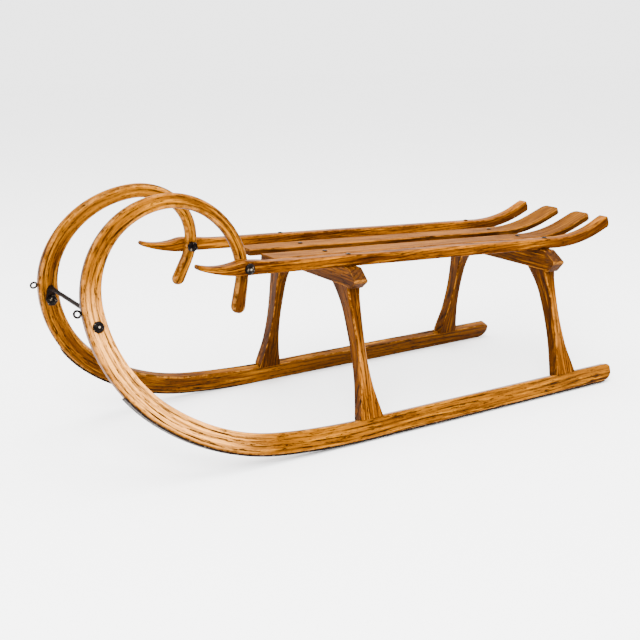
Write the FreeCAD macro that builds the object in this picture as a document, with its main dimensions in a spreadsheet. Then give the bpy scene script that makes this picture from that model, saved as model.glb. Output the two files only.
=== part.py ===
import FreeCAD, Part
import math
import os

# Ram's-horn sledge: two bent runners whose fronts sweep up and curl back into horns,
# four legs, two cross beams, two seat slats, two side rails and their iron fittings.
# Row frame: +X towards the horns, +Y to the sledge's left, +Z up, millimetres.
# The origin is on the floor, at the middle of the length and of the width.

doc = FreeCAD.newDocument("Sledge")
V = FreeCAD.Vector
Rotation = FreeCAD.Rotation
Placement = FreeCAD.Placement

# Driving dimensions: alias, value (mm or degrees), meaning.
SIZES = [
    ("cant_angle", 16.5, "lean of runners and legs, bottoms further apart"),
    ("runner_floor_y", 203.8, "runner centre plane from the middle, at the wood's underside"),
    ("runner_floor_z", 3.5, "height of the wood's underside in the centre plane"),
    ("runner_rear_x", -524.0, "rear end of the runners"),
    ("curve_start_x", 83.0, "where the straight sole starts to rise"),
    ("curve1_radius", 1634.0, "first rise of the sole"),
    ("curve1_sweep", 6.4, "sweep of the first rise"),
    ("curve2_radius", 388.0, "main rise"),
    ("curve2_sweep", 35.3, "sweep of the main rise"),
    ("curve3_radius", 274.0, "rise to the upright front"),
    ("curve3_sweep", 44.2, "sweep to the upright front"),
    ("curve4_radius", 175.0, "front to the top of the horn"),
    ("curve4_sweep", 91.3, "sweep to the top of the horn"),
    ("curve5_radius", 129.0, "top of the horn and back down"),
    ("curve5_sweep", 110.1, "sweep back down"),
    ("horn_end_length", 55.0, "straight end of the horn"),
    ("runner_width", 20.0, "runner thickness across the sledge"),
    ("horn_width", 16.5, "runner thickness at the horn"),
    ("rear_depth", 33.0, "runner depth at its rear end"),
    ("sole_depth", 36.0, "runner depth where the curve starts"),
    ("front_depth", 37.5, "runner depth in the main rise"),
    ("horn_depth", 22.5, "runner depth where the horn passes the rail"),
    ("horn_knob_depth", 25.0, "depth of the rounded end of the horn"),
    ("rear_top_radius", 10.0, "upper rear corner of the runner"),
    ("rear_sole_radius", 20.0, "lower rear corner of the runner"),
    ("shoe_width", 19.0, "steel shoe under each runner"),
    ("shoe_thickness", 3.0, "thickness of the shoe"),
    ("shoe_seat", 0.5, "depth of the shoe let into the wood"),
    ("shoe_end_heading", 56.0, "slope of the runner where the shoe ends"),
    ("deck_height", 305.5, "height of the beams' tops at the middle"),
    ("deck_pitch", 2.9, "rise of the deck towards the front, degrees"),
    ("beam_thickness", 28.0, "cross beam along the sledge"),
    ("front_beam_x", 77.0, "middle of the front beam"),
    ("rear_beam_x", -391.0, "middle of the rear beam"),
    ("front_beam_depth", 34.5, "front beam height"),
    ("rear_beam_depth", 39.5, "rear beam height"),
    ("knob_reach", 26.5, "tip of the beam's knob beyond the leg"),
    ("knob_top", 147.0, "where the knob's upper facet starts"),
    ("knob_lip", 6.5, "lower edge of the knob beyond the leg"),
    ("knob_tip_drop", 21.0, "tip of the knob below the beam's top"),
    ("lip_drop", 3.0, "knob's lower edge below the beam's underside"),
    ("leg_foot_length", 48.0, "leg foot along the runner"),
    ("leg_waist_length", 18.0, "leg at its waist"),
    ("leg_waist_height", 130.0, "height of the waist along the leg"),
    ("leg_seat_depth", 0.5, "depth of the leg's seat in the runner"),
    ("leg_foot_upright", 3.0, "upright edge at the foot before the waist curve starts"),
    ("leg_knee_length", 29.2, "leg two fifths of the way from foot to waist"),
    ("leg_neck_length", 21.2, "leg halfway between waist and beam"),
    ("leg_chamfer", 3.0, "flat along the leg's outer edges"),
    ("leg_foot_out", 12.0, "leg's outer face from the runner's centre plane, at the foot"),
    ("leg_splay", 2.0, "how much less than the runner the leg leans"),
    ("leg_foot_thickness", 24.0, "leg's foot across the sledge"),
    ("leg_neck_thickness", 33.0, "leg across the sledge where the haunch starts"),
    ("haunch_thickness", 50.0, "leg across the sledge under the beam"),
    ("haunch_middle_thickness", 39.7, "leg across the sledge inside the haunch"),
    ("haunch_length", 52.0, "length of the haunch under the beam"),
    ("haunch_middle", 22.0, "distance of its middle measure from the beam"),
    ("rear_leg_foot_step", -7.0, "rear leg's foot from the middle of its beam"),
    ("slat_middle_y", 46.5, "middle of each seat slat"),
    ("slat_width", 51.0, "seat slat width"),
    ("slat_thickness", 12.5, "seat slat thickness"),
    ("slat_front_x", 199.0, "front end of the slats"),
    ("slat_bend_x", -419.0, "where the slats start to rise at the back"),
    ("slat_bend_radius", 290.0, "radius of the slats' rise, at their top"),
    ("slat_bend_sweep", 22.9, "sweep of the slats' rise"),
    ("slat_rear_x", -582.5, "rear end of the slats, along the deck"),
    ("slat_corner", 12.0, "round of the slats' rear corners"),
    ("slat_edge", 2.5, "round of the slats' long edges"),
    ("rail_inner_y", 111.5, "inner face of the side rails"),
    ("rail_width", 26.0, "side rail width"),
    ("rail_depth", 20.5, "side rail depth"),
    ("rail_bend_x", -423.0, "where the rails start to rise at the back"),
    ("rail_rear_x", -569.0, "rear end of the rails"),
    ("rail_bend_radius", 280.0, "radius of the rails' rise, on top"),
    ("rail_bend_sweep", 25.0, "sweep of the rails' rise"),
    ("rail_edge", 3.0, "round of the rails' long edges"),
    ("hump_start_x", 222.0, "where the rails' tops start to rise to the hump"),
    ("hump_x", 289.0, "hump over the horn bolt"),
    ("hump_z", 25.0, "height of the hump"),
    ("hump_half_length", 11.5, "half the length of the hump's crown"),
    ("hump_crown", 1.1, "rise of the hump's crown"),
    ("chin_start_x", 270.0, "where the rails' undersides start to rise at the front"),
    ("chin_x", 332.0, "a point on the curved underside"),
    ("chin_z", 3.8, "height of that point"),
    ("dip_x", 336.0, "lowest point between hump and nose"),
    ("dip_z", 18.2, "height of that point"),
    ("nose_x", 376.5, "foremost point of the rails"),
    ("nose_z", 20.5, "height of that point"),
    ("nose_top_x", 372.0, "upper end of the rounded nose"),
    ("nose_top_z", 23.0, "height of that point"),
    ("nose_low_x", 375.5, "lower end of the rounded nose"),
    ("nose_low_z", 15.5, "height of that point"),
    ("screw_front_x", 77.0, "screws over the front beam"),
    ("screw_rear_x", -397.0, "screws over the rear beam"),
    ("screw_head_diameter", 10.0, "round screw heads"),
    ("screw_shank_diameter", 4.2, "screw shanks"),
    ("screw_length", 34.0, "screw length under the head"),
    ("horn_bolt_x", 281.0, "bolt that ties each horn to its rail"),
    ("horn_bolt_z", 331.0, "height of that bolt"),
    ("bolt_diameter", 7.0, "bolt shanks"),
    ("bolt_clearance", 0.1, "gap round each bolt"),
    ("bolt_head_diameter", 19.0, "domed bolt heads"),
    ("nut_diameter", 18.0, "nuts across the flats"),
    ("nut_height", 7.0, "nut height"),
    ("spreader_x", 551.0, "spreader rod between the fronts"),
    ("spreader_z", 286.5, "height of the spreader rod"),
    ("spreader_bolt_z", 268.5, "height of the spreader's bolts"),
    ("spreader_diameter", 7.4, "spreader rod"),
    ("spreader_eye_width", 18.0, "flattened end of the spreader rod"),
    ("spreader_eye_thickness", 5.0, "thickness of that flattened end"),
    ("spreader_neck_width", 13.0, "flattened end where it meets the rod"),
    ("eye_ring_diameter", 10.8, "tow eye ring, to the middle of the wire"),
    ("eye_wire_diameter", 3.8, "tow eye wire"),
    ("eye_ring_z", 293.0, "height of the tow eyes"),
    ("eye_shank_diameter", 4.0, "tow eye shank"),
    ("eye_bore", 24.0, "depth of the tow eye's hole"),
]

sheet = doc.addObject("Spreadsheet::Sheet", "Sizes")
for row, (name, value, meaning) in enumerate(SIZES, 1):
    sheet.set("A%d" % row, name)
    sheet.set("B%d" % row, str(value))
    sheet.set("C%d" % row, meaning)
    sheet.setAlias("B%d" % row, name)
doc.recompute()


def size(name):
    return float(sheet.get(name))


LEFT = 1
RIGHT = -1
SIDES = ((LEFT, "left"), (RIGHT, "right"))
FAR = 400.0          # reach of cutting tools past the wood
HAIR = 0.02          # gap between touching faces
SPARE = 20.0         # reach of a cutting outline past the piece it cuts
TOUCHING = 1e-4      # two places this close count as one
LONG_EDGE = 30.0     # shortest edge that is rounded
CANT = math.radians(size("cant_angle"))
PITCH = math.radians(size("deck_pitch"))


# ---------------------------------------------------------------- frames

def runner_frame(side):
    """Local X along the runner, Y across it, Z up its leaning plane."""
    base = V(0, side * size("runner_floor_y"), size("runner_floor_z"))
    return Placement(base, Rotation(V(1, 0, 0), side * size("cant_angle")))


def deck_frame():
    """Local XY plane is the top of the cross beams."""
    base = V(0, 0, size("deck_height"))
    return Placement(base, Rotation(V(0, 1, 0), -size("deck_pitch")))


def plane_y(z):
    """Distance of the runner's centre plane from the middle at row height z."""
    return size("runner_floor_y") - (z - size("runner_floor_z")) * math.tan(CANT)


# ---------------------------------------------------------------- PartDesign helpers

def new_body(label, placement):
    body = doc.addObject("PartDesign::Body", label)
    body.Label = label
    body.Placement = placement
    return body


def sketch(body, role, edges, offset=None):
    planes = [f for f in body.Origin.OriginFeatures if f.Role == role]
    item = body.newObject("Sketcher::SketchObject", body.Label + "_sketch")
    item.AttachmentSupport = [(planes[0], "")]
    item.MapMode = "FlatFace"
    if offset is not None:
        item.AttachmentOffset = offset
    for edge in edges:
        item.addGeometry(edge, False)
    return item


def line(a, b):
    return Part.LineSegment(V(a[0], a[1], 0), V(b[0], b[1], 0))


def arc(a, middle, b):
    return Part.Arc(V(a[0], a[1], 0), V(middle[0], middle[1], 0), V(b[0], b[1], 0))


def circle(centre, radius):
    return Part.Circle(V(centre[0], centre[1], 0), V(0, 0, 1), radius)


def polygon(points):
    return [line(a, b) for a, b in zip(points, points[1:] + points[:1])]


def pad(body, profile, length, symmetric=True):
    """length is a number or the name of a size."""
    item = body.newObject("PartDesign::Pad", body.Label + "_pad")
    item.Profile = profile
    if symmetric:
        item.SideType = "Symmetric"
    if isinstance(length, str):
        item.setExpression("Length", "Sizes." + length)
    else:
        item.Length = length
    body.Tip = item
    doc.recompute()
    return item


def finish_cut(body, item):
    """Make a cut the body's result and check that it changed the solid."""
    before = body.Shape.Volume
    body.Tip = item
    doc.recompute()
    if body.Shape.Volume <= 0 or abs(body.Shape.Volume - before) < 1.0:
        raise RuntimeError("a cut changed nothing in " + body.Label)
    return item


def pocket_through(body, profile):
    item = body.newObject("PartDesign::Pocket", body.Label + "_pocket")
    item.Profile = profile
    item.SideType = "Symmetric"
    item.Length = FAR
    return finish_cut(body, item)


def cut_box(body, lengths, place):
    """Take away a box; place is the frame of its lower corner, in the body's frame."""
    item = body.newObject("PartDesign::SubtractiveBox", body.Label + "_cut")
    item.Length = lengths[0]
    item.Width = lengths[1]
    item.Height = lengths[2]
    item.Placement = place
    return finish_cut(body, item)


def cut_cylinder(body, radius, height, place):
    """Take away a cylinder that rises along the local Z of place; radius is an expression."""
    item = body.newObject("PartDesign::SubtractiveCylinder", body.Label + "_bore")
    item.setExpression("Radius", radius)
    item.Height = height
    item.Placement = place
    return finish_cut(body, item)


def dress(body, kind, property_name, size_name, wanted):
    """Round or bevel the edges that a test picks from the body's present result."""
    base = body.Tip
    names = ["Edge%d" % number for number, edge in enumerate(base.Shape.Edges, 1) if wanted(edge)]
    item = body.newObject("PartDesign::" + kind, body.Label + "_" + kind.lower())
    item.Base = (base, names)
    item.setExpression(property_name, "Sizes." + size_name)
    return finish_cut(body, item)


def in_plane_y(edge, y):
    return all(abs(vertex.Point.y - y) < TOUCHING for vertex in edge.Vertexes)


def runs_along(edge, middle, half):
    """Whether an edge is one of a plank's long edges, half a width either side of its middle."""
    return edge.Length > LONG_EDGE and (in_plane_y(edge, middle - half) or in_plane_y(edge, middle + half))


def across(side, x, y, z):
    """Frame with Z pointing outwards across the sledge, at a row position."""
    return Placement(V(x, side * y, z), Rotation(V(1, 0, 0), -90.0 * side))


# ---------------------------------------------------------------- the runner's sole line

def sole_path():
    """Pieces of the sole: (length, radius or None, start point, start heading)."""
    pieces = []
    x, w, heading = size("runner_rear_x"), 0.0, 0.0
    straight = size("curve_start_x") - x
    pieces.append((straight, None, (x, w), heading))
    x += straight
    for number in range(1, 6):
        radius = size("curve%d_radius" % number)
        sweep = math.radians(size("curve%d_sweep" % number))
        pieces.append((radius * sweep, radius, (x, w), heading))
        x += radius * (math.sin(heading + sweep) - math.sin(heading))
        w += radius * (math.cos(heading) - math.cos(heading + sweep))
        heading += sweep
    pieces.append((size("horn_end_length"), None, (x, w), heading))
    return pieces


SOLE = sole_path()
SOLE_LENGTH = sum(piece[0] for piece in SOLE)


def sole_at(distance, inward=0.0):
    """Point (x, w) at a distance along the sole, moved inward; and the heading."""
    left = distance
    for length, radius, (x, w), heading in SOLE:
        if left <= length or (length, radius) == SOLE[-1][:2]:
            break
        left -= length
    if radius is None:
        x += left * math.cos(heading)
        w += left * math.sin(heading)
    else:
        turned = heading + left / radius
        x += radius * (math.sin(turned) - math.sin(heading))
        w += radius * (math.cos(heading) - math.cos(turned))
        heading = turned
    return (x - inward * math.sin(heading), w + inward * math.cos(heading)), heading


def distance_at_heading(degrees):
    """Distance along the sole where its heading first reaches an angle."""
    wanted = math.radians(degrees)
    travelled = 0.0
    for length, radius, start, heading in SOLE:
        if radius is not None and wanted <= heading + length / radius:
            return travelled + (wanted - heading) * radius
        travelled += length
    return SOLE_LENGTH


def blend(distance, knots):
    """Value at a distance, straight between (distance, value) knots."""
    if distance <= knots[0][0]:
        return knots[0][1]
    for (a, low), (b, high) in zip(knots, knots[1:]):
        if distance <= b:
            share = (distance - a) / (b - a)
            return low + (high - low) * share
    return knots[-1][1]


def heading_knots(pairs):
    return [(distance_at_heading(angle), value) for angle, value in pairs]


CURVE_START = SOLE[0][0]
HORN_END_START = SOLE_LENGTH - size("horn_end_length")
DEPTHS = [(0.0, size("rear_depth")), (CURVE_START, size("sole_depth"))]
DEPTHS += heading_knots([
    (12.0, size("front_depth")),
    (66.0, size("front_depth")),
    (86.0, size("front_depth") - 2.0),
    (155.0, size("horn_depth") + 6.0),
    (215.0, size("horn_depth") + 0.7),
    (245.0, size("horn_depth")),
])
DEPTHS += [(HORN_END_START, size("horn_depth")), (SOLE_LENGTH - 14.0, size("horn_knob_depth"))]
WIDTHS = [(CURVE_START, size("runner_width"))]
WIDTHS += heading_knots([
    (42.0, size("runner_width") - 0.5),
    (86.0, size("runner_width") - 1.0),
    (180.0, size("horn_width")),
])
ROUNDINGS = [(CURVE_START, 2.5)]
ROUNDINGS += heading_knots([(42.0, 5.0), (86.0, 5.5), (120.0, 6.3), (180.0, 7.0)])


def rounded_section(width, low, high, radius):
    """Closed outline with round corners, centred on local X, between two heights."""
    half = width / 2
    straight = half - radius
    k = radius * (1 - math.sqrt(0.5))
    return [
        line((-straight, low), (straight, low)),
        arc((straight, low), (half - k, low + k), (half, low + radius)),
        line((half, low + radius), (half, high - radius)),
        arc((half, high - radius), (half - k, high - k), (straight, high)),
        line((straight, high), (-straight, high)),
        arc((-straight, high), (-half + k, high - k), (-half, high - radius)),
        line((-half, high - radius), (-half, low + radius)),
        arc((-half, low + radius), (-half + k, low + k), (-straight, low)),
    ]


def section_frame(distance):
    """Offset of a YZ sketch so that it stands across the sole at a distance."""
    (x, w), heading = sole_at(distance)
    return Placement(V(0, w, x), Rotation(V(1, 0, 0), -math.degrees(heading)))


def strip(inner, outer, start, end):
    """Edges of a band along the sole between two offsets (inward positive)."""
    edges = []
    marks = [start]
    travelled = 0.0
    for length, radius, point, heading in SOLE:
        travelled += length
        if start < travelled < end:
            marks.append(travelled)
    marks.append(end)
    for offset, order in ((outer, marks), (inner, marks[::-1])):
        for a, b in zip(order, order[1:]):
            middle = (a + b) / 2
            first, first_heading = sole_at(a, offset)
            last, last_heading = sole_at(b, offset)
            if abs(first_heading - last_heading) < 1e-9:
                edges.append(line(first, last))
            else:
                edges.append(arc(first, sole_at(middle, offset)[0], last))
    edges.append(line(sole_at(end, outer)[0], sole_at(end, inner)[0]))
    edges.append(line(sole_at(start, inner)[0], sole_at(start, outer)[0]))
    return edges


SHOE_START = size("rear_sole_radius")
SHOE_END = distance_at_heading(size("shoe_end_heading"))

LEGS = (
    ("front", size("front_beam_x"), 0.0, size("front_beam_depth")),
    ("rear", size("rear_beam_x"), size("rear_leg_foot_step"), size("rear_beam_depth")),
)


def leg_seat(foot_x):
    """Height of a leg's flat seat, cut just under the runner's top."""
    half = size("leg_foot_length") / 2
    depths = [blend(foot_x + step * half - size("runner_rear_x"), DEPTHS) for step in (-1, 0, 1)]
    return min(depths) - size("leg_seat_depth")


HORN_BOLT_ROW_Y = plane_y(size("horn_bolt_z"))
HORN_FACE_STEP = size("horn_width") / 2 / math.cos(CANT)
NUT_SEAT_Y = HORN_BOLT_ROW_Y - HORN_FACE_STEP - 0.3
SPOT_FACE_REACH = 12.0
BOLT_BORE = "Sizes.bolt_diameter / 2 + Sizes.bolt_clearance"
BORE_RADIUS = size("bolt_diameter") / 2 + size("bolt_clearance")
SHANK_BORE = "Sizes.screw_shank_diameter / 2"
SPREADER_BOLT_W = (size("spreader_bolt_z") - size("runner_floor_z")) / math.cos(CANT)
SPREADER_ROD_W = (size("spreader_z") - size("runner_floor_z")) / math.cos(CANT)


def front_at_height(w):
    """Distance along the sole where its upright front reaches a height."""
    low, high = distance_at_heading(50.0), distance_at_heading(150.0)
    for _ in range(60):
        middle = (low + high) / 2
        if sole_at(middle)[0][1] < w:
            low = middle
        else:
            high = middle
    return low


def runner_width_at_spreader():
    """Width of the runner just below the spreader's eyes, plus a hair of clearance."""
    below = SPREADER_BOLT_W - size("spreader_eye_width") * 0.8
    return blend(front_at_height(below), WIDTHS) + 2 * HAIR


def make_runner(side, side_name):
    body = new_body("runner_" + side_name, runner_frame(side))
    flat = [CURVE_START * step / 6 for step in range(7)]
    curved = []
    travelled = CURVE_START
    for length, radius, start, heading in SOLE[1:-1]:
        steps = max(2, int(round(math.degrees(length / radius) / 11.0)))
        curved += [travelled + length * step / steps for step in range(1, steps + 1)]
        travelled += length
    knob = size("horn_knob_depth") / 2
    stations = [(d, 1.0) for d in flat + curved]
    stations.append((SOLE_LENGTH - 2.2 * knob, 1.0))
    for angle in (90, 62, 42, 26, 13):
        turned = math.radians(angle)
        stations.append((SOLE_LENGTH - knob * math.cos(turned), math.sin(turned)))
    profiles = []
    for distance, scale in stations:
        depth = blend(distance, DEPTHS)
        width = blend(distance, WIDTHS)
        radius = blend(distance, ROUNDINGS)
        if scale < 1.0:
            depth = size("horn_knob_depth")
            radius = min(width, depth) * 0.46
        low = depth * (1 - scale) / 2
        edges = rounded_section(width * scale, low, depth - low, radius * scale)
        profiles.append(sketch(body, "YZ_Plane", edges, section_frame(distance)))
    loft = body.newObject("PartDesign::AdditiveLoft", body.Label + "_loft")
    loft.Profile = profiles[0]
    loft.Sections = profiles[1:]
    body.Tip = loft
    doc.recompute()
    # seat of the steel shoe
    seat = strip(size("shoe_seat"), -SPARE, SHOE_START, SHOE_END)
    pocket_through(body, sketch(body, "XZ_Plane", seat))
    # rounded rear end
    rear = size("runner_rear_x")
    top = size("rear_depth")
    upper = size("rear_top_radius")
    lower = size("rear_sole_radius")
    bend = 1 - math.sqrt(0.5)
    rear_cut = [
        arc((rear + upper, top), (rear + upper * bend, top - upper * bend), (rear, top - upper)),
        line((rear, top - upper), (rear - SPARE, top - upper)),
        line((rear - SPARE, top - upper), (rear - SPARE, top + SPARE)),
        line((rear - SPARE, top + SPARE), (rear + upper, top + SPARE)),
        line((rear + upper, top + SPARE), (rear + upper, top)),
    ]
    pocket_through(body, sketch(body, "XZ_Plane", rear_cut))
    sole_cut = [
        arc((rear, lower), (rear + lower * bend, lower * bend), (rear + lower, 0)),
        line((rear + lower, 0), (rear + lower, -SPARE)),
        line((rear + lower, -SPARE), (rear - SPARE, -SPARE)),
        line((rear - SPARE, -SPARE), (rear - SPARE, lower)),
        line((rear - SPARE, lower), (rear, lower)),
    ]
    pocket_through(body, sketch(body, "XZ_Plane", sole_cut))
    # flat seats for the legs
    half = size("leg_foot_length") / 2
    for name, beam_x, foot_step, depth in LEGS:
        x = beam_x + foot_step
        low = leg_seat(x)
        high = low + SPARE
        seat = polygon([(x - half, low), (x + half, low), (x + half, high), (x - half, high)])
        pocket_through(body, sketch(body, "XZ_Plane", seat))
    # bolt holes and the nut's spot face
    to_body = body.Placement.inverse()
    start = across(side, size("horn_bolt_x"), NUT_SEAT_Y - SPOT_FACE_REACH, size("horn_bolt_z"))
    cut_cylinder(body, "Sizes.nut_diameter * 0.62", SPOT_FACE_REACH, to_body.multiply(start))
    start = across(side, size("horn_bolt_x"), HORN_BOLT_ROW_Y - 2 * SPARE, size("horn_bolt_z"))
    cut_cylinder(body, BOLT_BORE, 4 * SPARE, to_body.multiply(start))
    start = Placement(V(size("spreader_x"), side * -SPARE, SPREADER_BOLT_W),
                      Rotation(V(1, 0, 0), -90.0 * side))
    cut_cylinder(body, BOLT_BORE, 2 * SPARE, start)
    # hole of the tow eye's shank
    cut_cylinder(body, "Sizes.eye_shank_diameter / 2", size("eye_bore"), eye_frame(side, -size("eye_bore")))
    return body


EYE_W = (size("eye_ring_z") - size("runner_floor_z")) / math.cos(CANT)
EYE_DISTANCE = front_at_height(EYE_W)


def eye_frame(side, out):
    """Frame at the runner's front face, moved out of the wood, Z pointing forward."""
    (x, w), heading = sole_at(EYE_DISTANCE, -out)
    turn = 90.0 + math.degrees(math.pi / 2 - heading)
    return Placement(V(x, 0, w), Rotation(V(0, 1, 0), turn))


def make_shoe(side, side_name):
    body = new_body("runner_shoe_" + side_name, runner_frame(side))
    proud = size("shoe_seat") - size("shoe_thickness")
    edges = strip(size("shoe_seat"), proud, SHOE_START, SHOE_END)
    pad(body, sketch(body, "XZ_Plane", edges), "shoe_width")
    # worn flat where the leaning shoe meets the ground
    worn = Placement(V(-FAR * 2, -FAR, -SPARE), Rotation())
    to_body = body.Placement.inverse()
    cut_box(body, (FAR * 4, FAR * 2, SPARE), to_body.multiply(worn))
    return body


# ---------------------------------------------------------------- legs and beams

def leg_out(w, foot):
    """Leg's outer face from the runner's centre plane, at height w in that plane."""
    return size("leg_foot_out") + (w - foot) * math.tan(math.radians(size("leg_splay")))


def leg_head(beam_x, beam_depth, foot):
    """Where the leg's outer face meets the beam's underside: (distance from the middle, height w)."""
    under = size("deck_height") + beam_x * math.tan(PITCH) - beam_depth
    w = under
    for _ in range(5):
        out = leg_out(w, foot)
        w = (under - size("runner_floor_z") - out * math.sin(CANT)) / math.cos(CANT)
    return size("runner_floor_y") + out * math.cos(CANT) - w * math.sin(CANT), w


def make_leg(side, side_name, name, beam_x, foot_step, beam_depth):
    """Waisted leg; local XZ plane is its flat outer face and local Z=0 is near its seat."""
    foot_x = beam_x + foot_step
    foot = leg_seat(foot_x)
    corner = V(0, side * size("leg_foot_out"), foot)
    splay = Placement(corner, Rotation(V(1, 0, 0), -side * size("leg_splay")))
    body = new_body("leg_%s_%s" % (name, side_name), runner_frame(side).multiply(splay))
    half_foot = size("leg_foot_length") / 2
    half_knee = size("leg_knee_length") / 2
    half_waist = size("leg_waist_length") / 2
    half_neck = size("leg_neck_length") / 2
    half_top = size("beam_thickness") / 2
    upright = size("leg_foot_upright")
    waist = size("leg_waist_height")
    crown = leg_head(beam_x, beam_depth, foot)[1] - foot
    knee = 0.40 * waist
    neck = (waist + crown) / 2
    head = crown + SPARE

    def middle(height):
        """Middle of the leg along the sledge, drifting from its foot to its beam."""
        return foot_x + (beam_x - foot_x) * height / crown

    def edge(direction):
        return [
            (foot_x + direction * half_foot, -SPARE),
            (foot_x + direction * half_foot, upright),
            (middle(knee) + direction * half_knee, knee),
            (middle(waist) + direction * half_waist, waist),
            (middle(neck) + direction * half_neck, neck),
            (middle(crown) + direction * half_top, crown),
            (middle(crown) + direction * half_top, head),
        ]

    front = edge(1)
    back = edge(-1)
    outline = [line(back[0], front[0]), line(front[6], back[6])]
    for points in (front, back):
        outline.append(line(points[0], points[1]))
        outline.append(arc(points[1], points[2], points[3]))
        outline.append(arc(points[3], points[4], points[5]))
        outline.append(line(points[5], points[6]))
    block = pad(body, sketch(body, "XZ_Plane", outline), FAR / 4, symmetric=False)
    block.Reversed = side == RIGHT
    doc.recompute()
    dress(body, "Chamfer", "Size", "leg_chamfer",
          lambda e: in_plane_y(e, 0.0) and e.Curve.TypeId == "Part::GeomCircle")
    # inner face: straight, then hollowed out to the haunch under the beam
    start = (size("leg_neck_thickness"), crown - size("haunch_length"))
    bulge = (size("haunch_middle_thickness"), crown - size("haunch_middle"))
    haunch = size("haunch_thickness")
    slope = (start[0] - size("leg_foot_thickness")) / start[1]
    low = -SPARE * 2
    chain = [(start[0] + slope * (low - start[1]), low), start, bulge, (haunch, crown),
             (haunch, head + SPARE), (FAR, head + SPARE), (FAR, low)]
    chain = [(-side * thickness, height) for thickness, height in chain]
    hollow = [line(chain[0], chain[1]), arc(chain[1], chain[2], chain[3])]
    hollow += [line(a, b) for a, b in zip(chain[3:], chain[4:] + chain[:1])]
    pocket_through(body, sketch(body, "YZ_Plane", hollow, Placement(V(0, 0, beam_x), Rotation())))
    # the foot is cut to its seat and the head to the underside of the beam
    to_body = body.Placement.inverse()
    seat = runner_frame(side).multiply(Placement(V(-FAR * 2, -FAR, foot - FAR), Rotation()))
    cut_box(body, (FAR * 4, FAR * 2, FAR), to_body.multiply(seat))
    under = deck_frame().multiply(Placement(V(-FAR * 2, -FAR, -beam_depth), Rotation()))
    cut_box(body, (FAR * 4, FAR * 2, FAR), to_body.multiply(under))
    return body


def screw_places():
    """Screw rows: label stem, distance from the middle, height of the head's seat."""
    rail_y = size("rail_inner_y") + size("rail_width") / 2 + 1.0
    return (
        ("slat_screws_", size("slat_middle_y") - 0.8, size("slat_thickness")),
        ("rail_screws_", rail_y, size("rail_depth")),
    )


def screw_hole(body, x, y, top, depth):
    """Drill straight down into the deck from a height."""
    start = Placement(V(x, y, top), Rotation(V(1, 0, 0), 180.0))
    cut_cylinder(body, SHANK_BORE, depth, start)


def make_beam(name, beam_x, foot_step, depth, screw_x):
    body = new_body("cross_beam_" + name, deck_frame())
    top = size("knob_top")
    tip = size("knob_tip_drop")
    lip = depth + size("lip_drop")
    flat = leg_head(beam_x, depth, leg_seat(beam_x + foot_step))[0] + 0.8
    reach = flat + size("knob_reach")
    low = flat + size("knob_lip")
    blunt = 2.0
    right_half = [
        (flat, -depth),
        (low, -lip),
        (low + 4.0, -lip + 1.5),
        (reach - blunt, -tip - 4.0),
        (reach, -tip),
        (reach - blunt, -tip + 3.0),
        (top + 3.0, -0.8),
        (top, 0.0),
    ]
    left_half = [(-y, z) for y, z in right_half[::-1]]
    edges = polygon(right_half + left_half)
    pad(body, sketch(body, "YZ_Plane", edges, Placement(V(0, 0, beam_x), Rotation())), "beam_thickness")
    for stem, y, head_seat in screw_places():
        for side in (LEFT, RIGHT):
            screw_hole(body, screw_x, side * y, 0.0, size("screw_length") - head_seat + 1.0)
    return body


# ---------------------------------------------------------------- slats and rails

def rising_top(start_x, top, radius, sweep, end_x):
    """Points of a line that runs back, bends up and goes on straight."""
    turn = math.radians(sweep)
    bend_x = start_x - radius * math.sin(turn)
    bend_z = top + radius * (1 - math.cos(turn))
    middle_x = start_x - radius * math.sin(turn / 2)
    middle_z = top + radius * (1 - math.cos(turn / 2))
    end_z = bend_z + (bend_x - end_x) * math.tan(turn)
    return (start_x, top), (middle_x, middle_z), (bend_x, bend_z), (end_x, end_z)


def make_slat(side, side_name):
    body = new_body("seat_slat_" + side_name, deck_frame())
    thick = size("slat_thickness")
    front = size("slat_front_x")
    rear = size("slat_rear_x")
    bend = size("slat_bend_x")
    radius = size("slat_bend_radius")
    sweep = size("slat_bend_sweep")
    turn = math.radians(sweep)
    middle_y = side * size("slat_middle_y")
    # the end is square to the raised part, so its lower edge reaches furthest back
    top_end = rear + thick * math.sin(turn)
    a, m, b, e = rising_top(bend, thick, radius, sweep, top_end)
    la, lm, lb, le = rising_top(bend, 0.0, radius + thick, sweep, rear)
    edges = [
        line((front, 0), (front, thick)),
        line((front, thick), a),
        arc(a, m, b),
        line(b, e),
        line(e, le),
        line(le, lb),
        arc(lb, lm, la),
        line(la, (front, 0)),
    ]
    shift = Placement(V(0, 0, -middle_y), Rotation())
    pad(body, sketch(body, "XZ_Plane", edges, shift), "slat_width")
    # rounded rear corners, seen from above
    corner = size("slat_corner")
    half = size("slat_width") / 2
    bend_share = corner * (1 - math.sqrt(0.5))
    back = rear - SPARE
    for direction in (1, -1):
        y = middle_y + direction * half
        turned_y = y - direction * corner
        beyond = y + direction * SPARE
        cut = [
            arc((rear + corner, y), (rear + bend_share, y - direction * bend_share), (rear, turned_y)),
            line((rear, turned_y), (back, turned_y)),
            line((back, turned_y), (back, beyond)),
            line((back, beyond), (rear + corner, beyond)),
            line((rear + corner, beyond), (rear + corner, y)),
        ]
        pocket_through(body, sketch(body, "XY_Plane", cut))
    dress(body, "Fillet", "Radius", "slat_edge", lambda e: runs_along(e, middle_y, half))
    stem, y, seat = screw_places()[0]
    for screw_x in (size("screw_front_x"), size("screw_rear_x")):
        screw_hole(body, screw_x, side * y, seat + 1.0, size("screw_length"))
    return body


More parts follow.
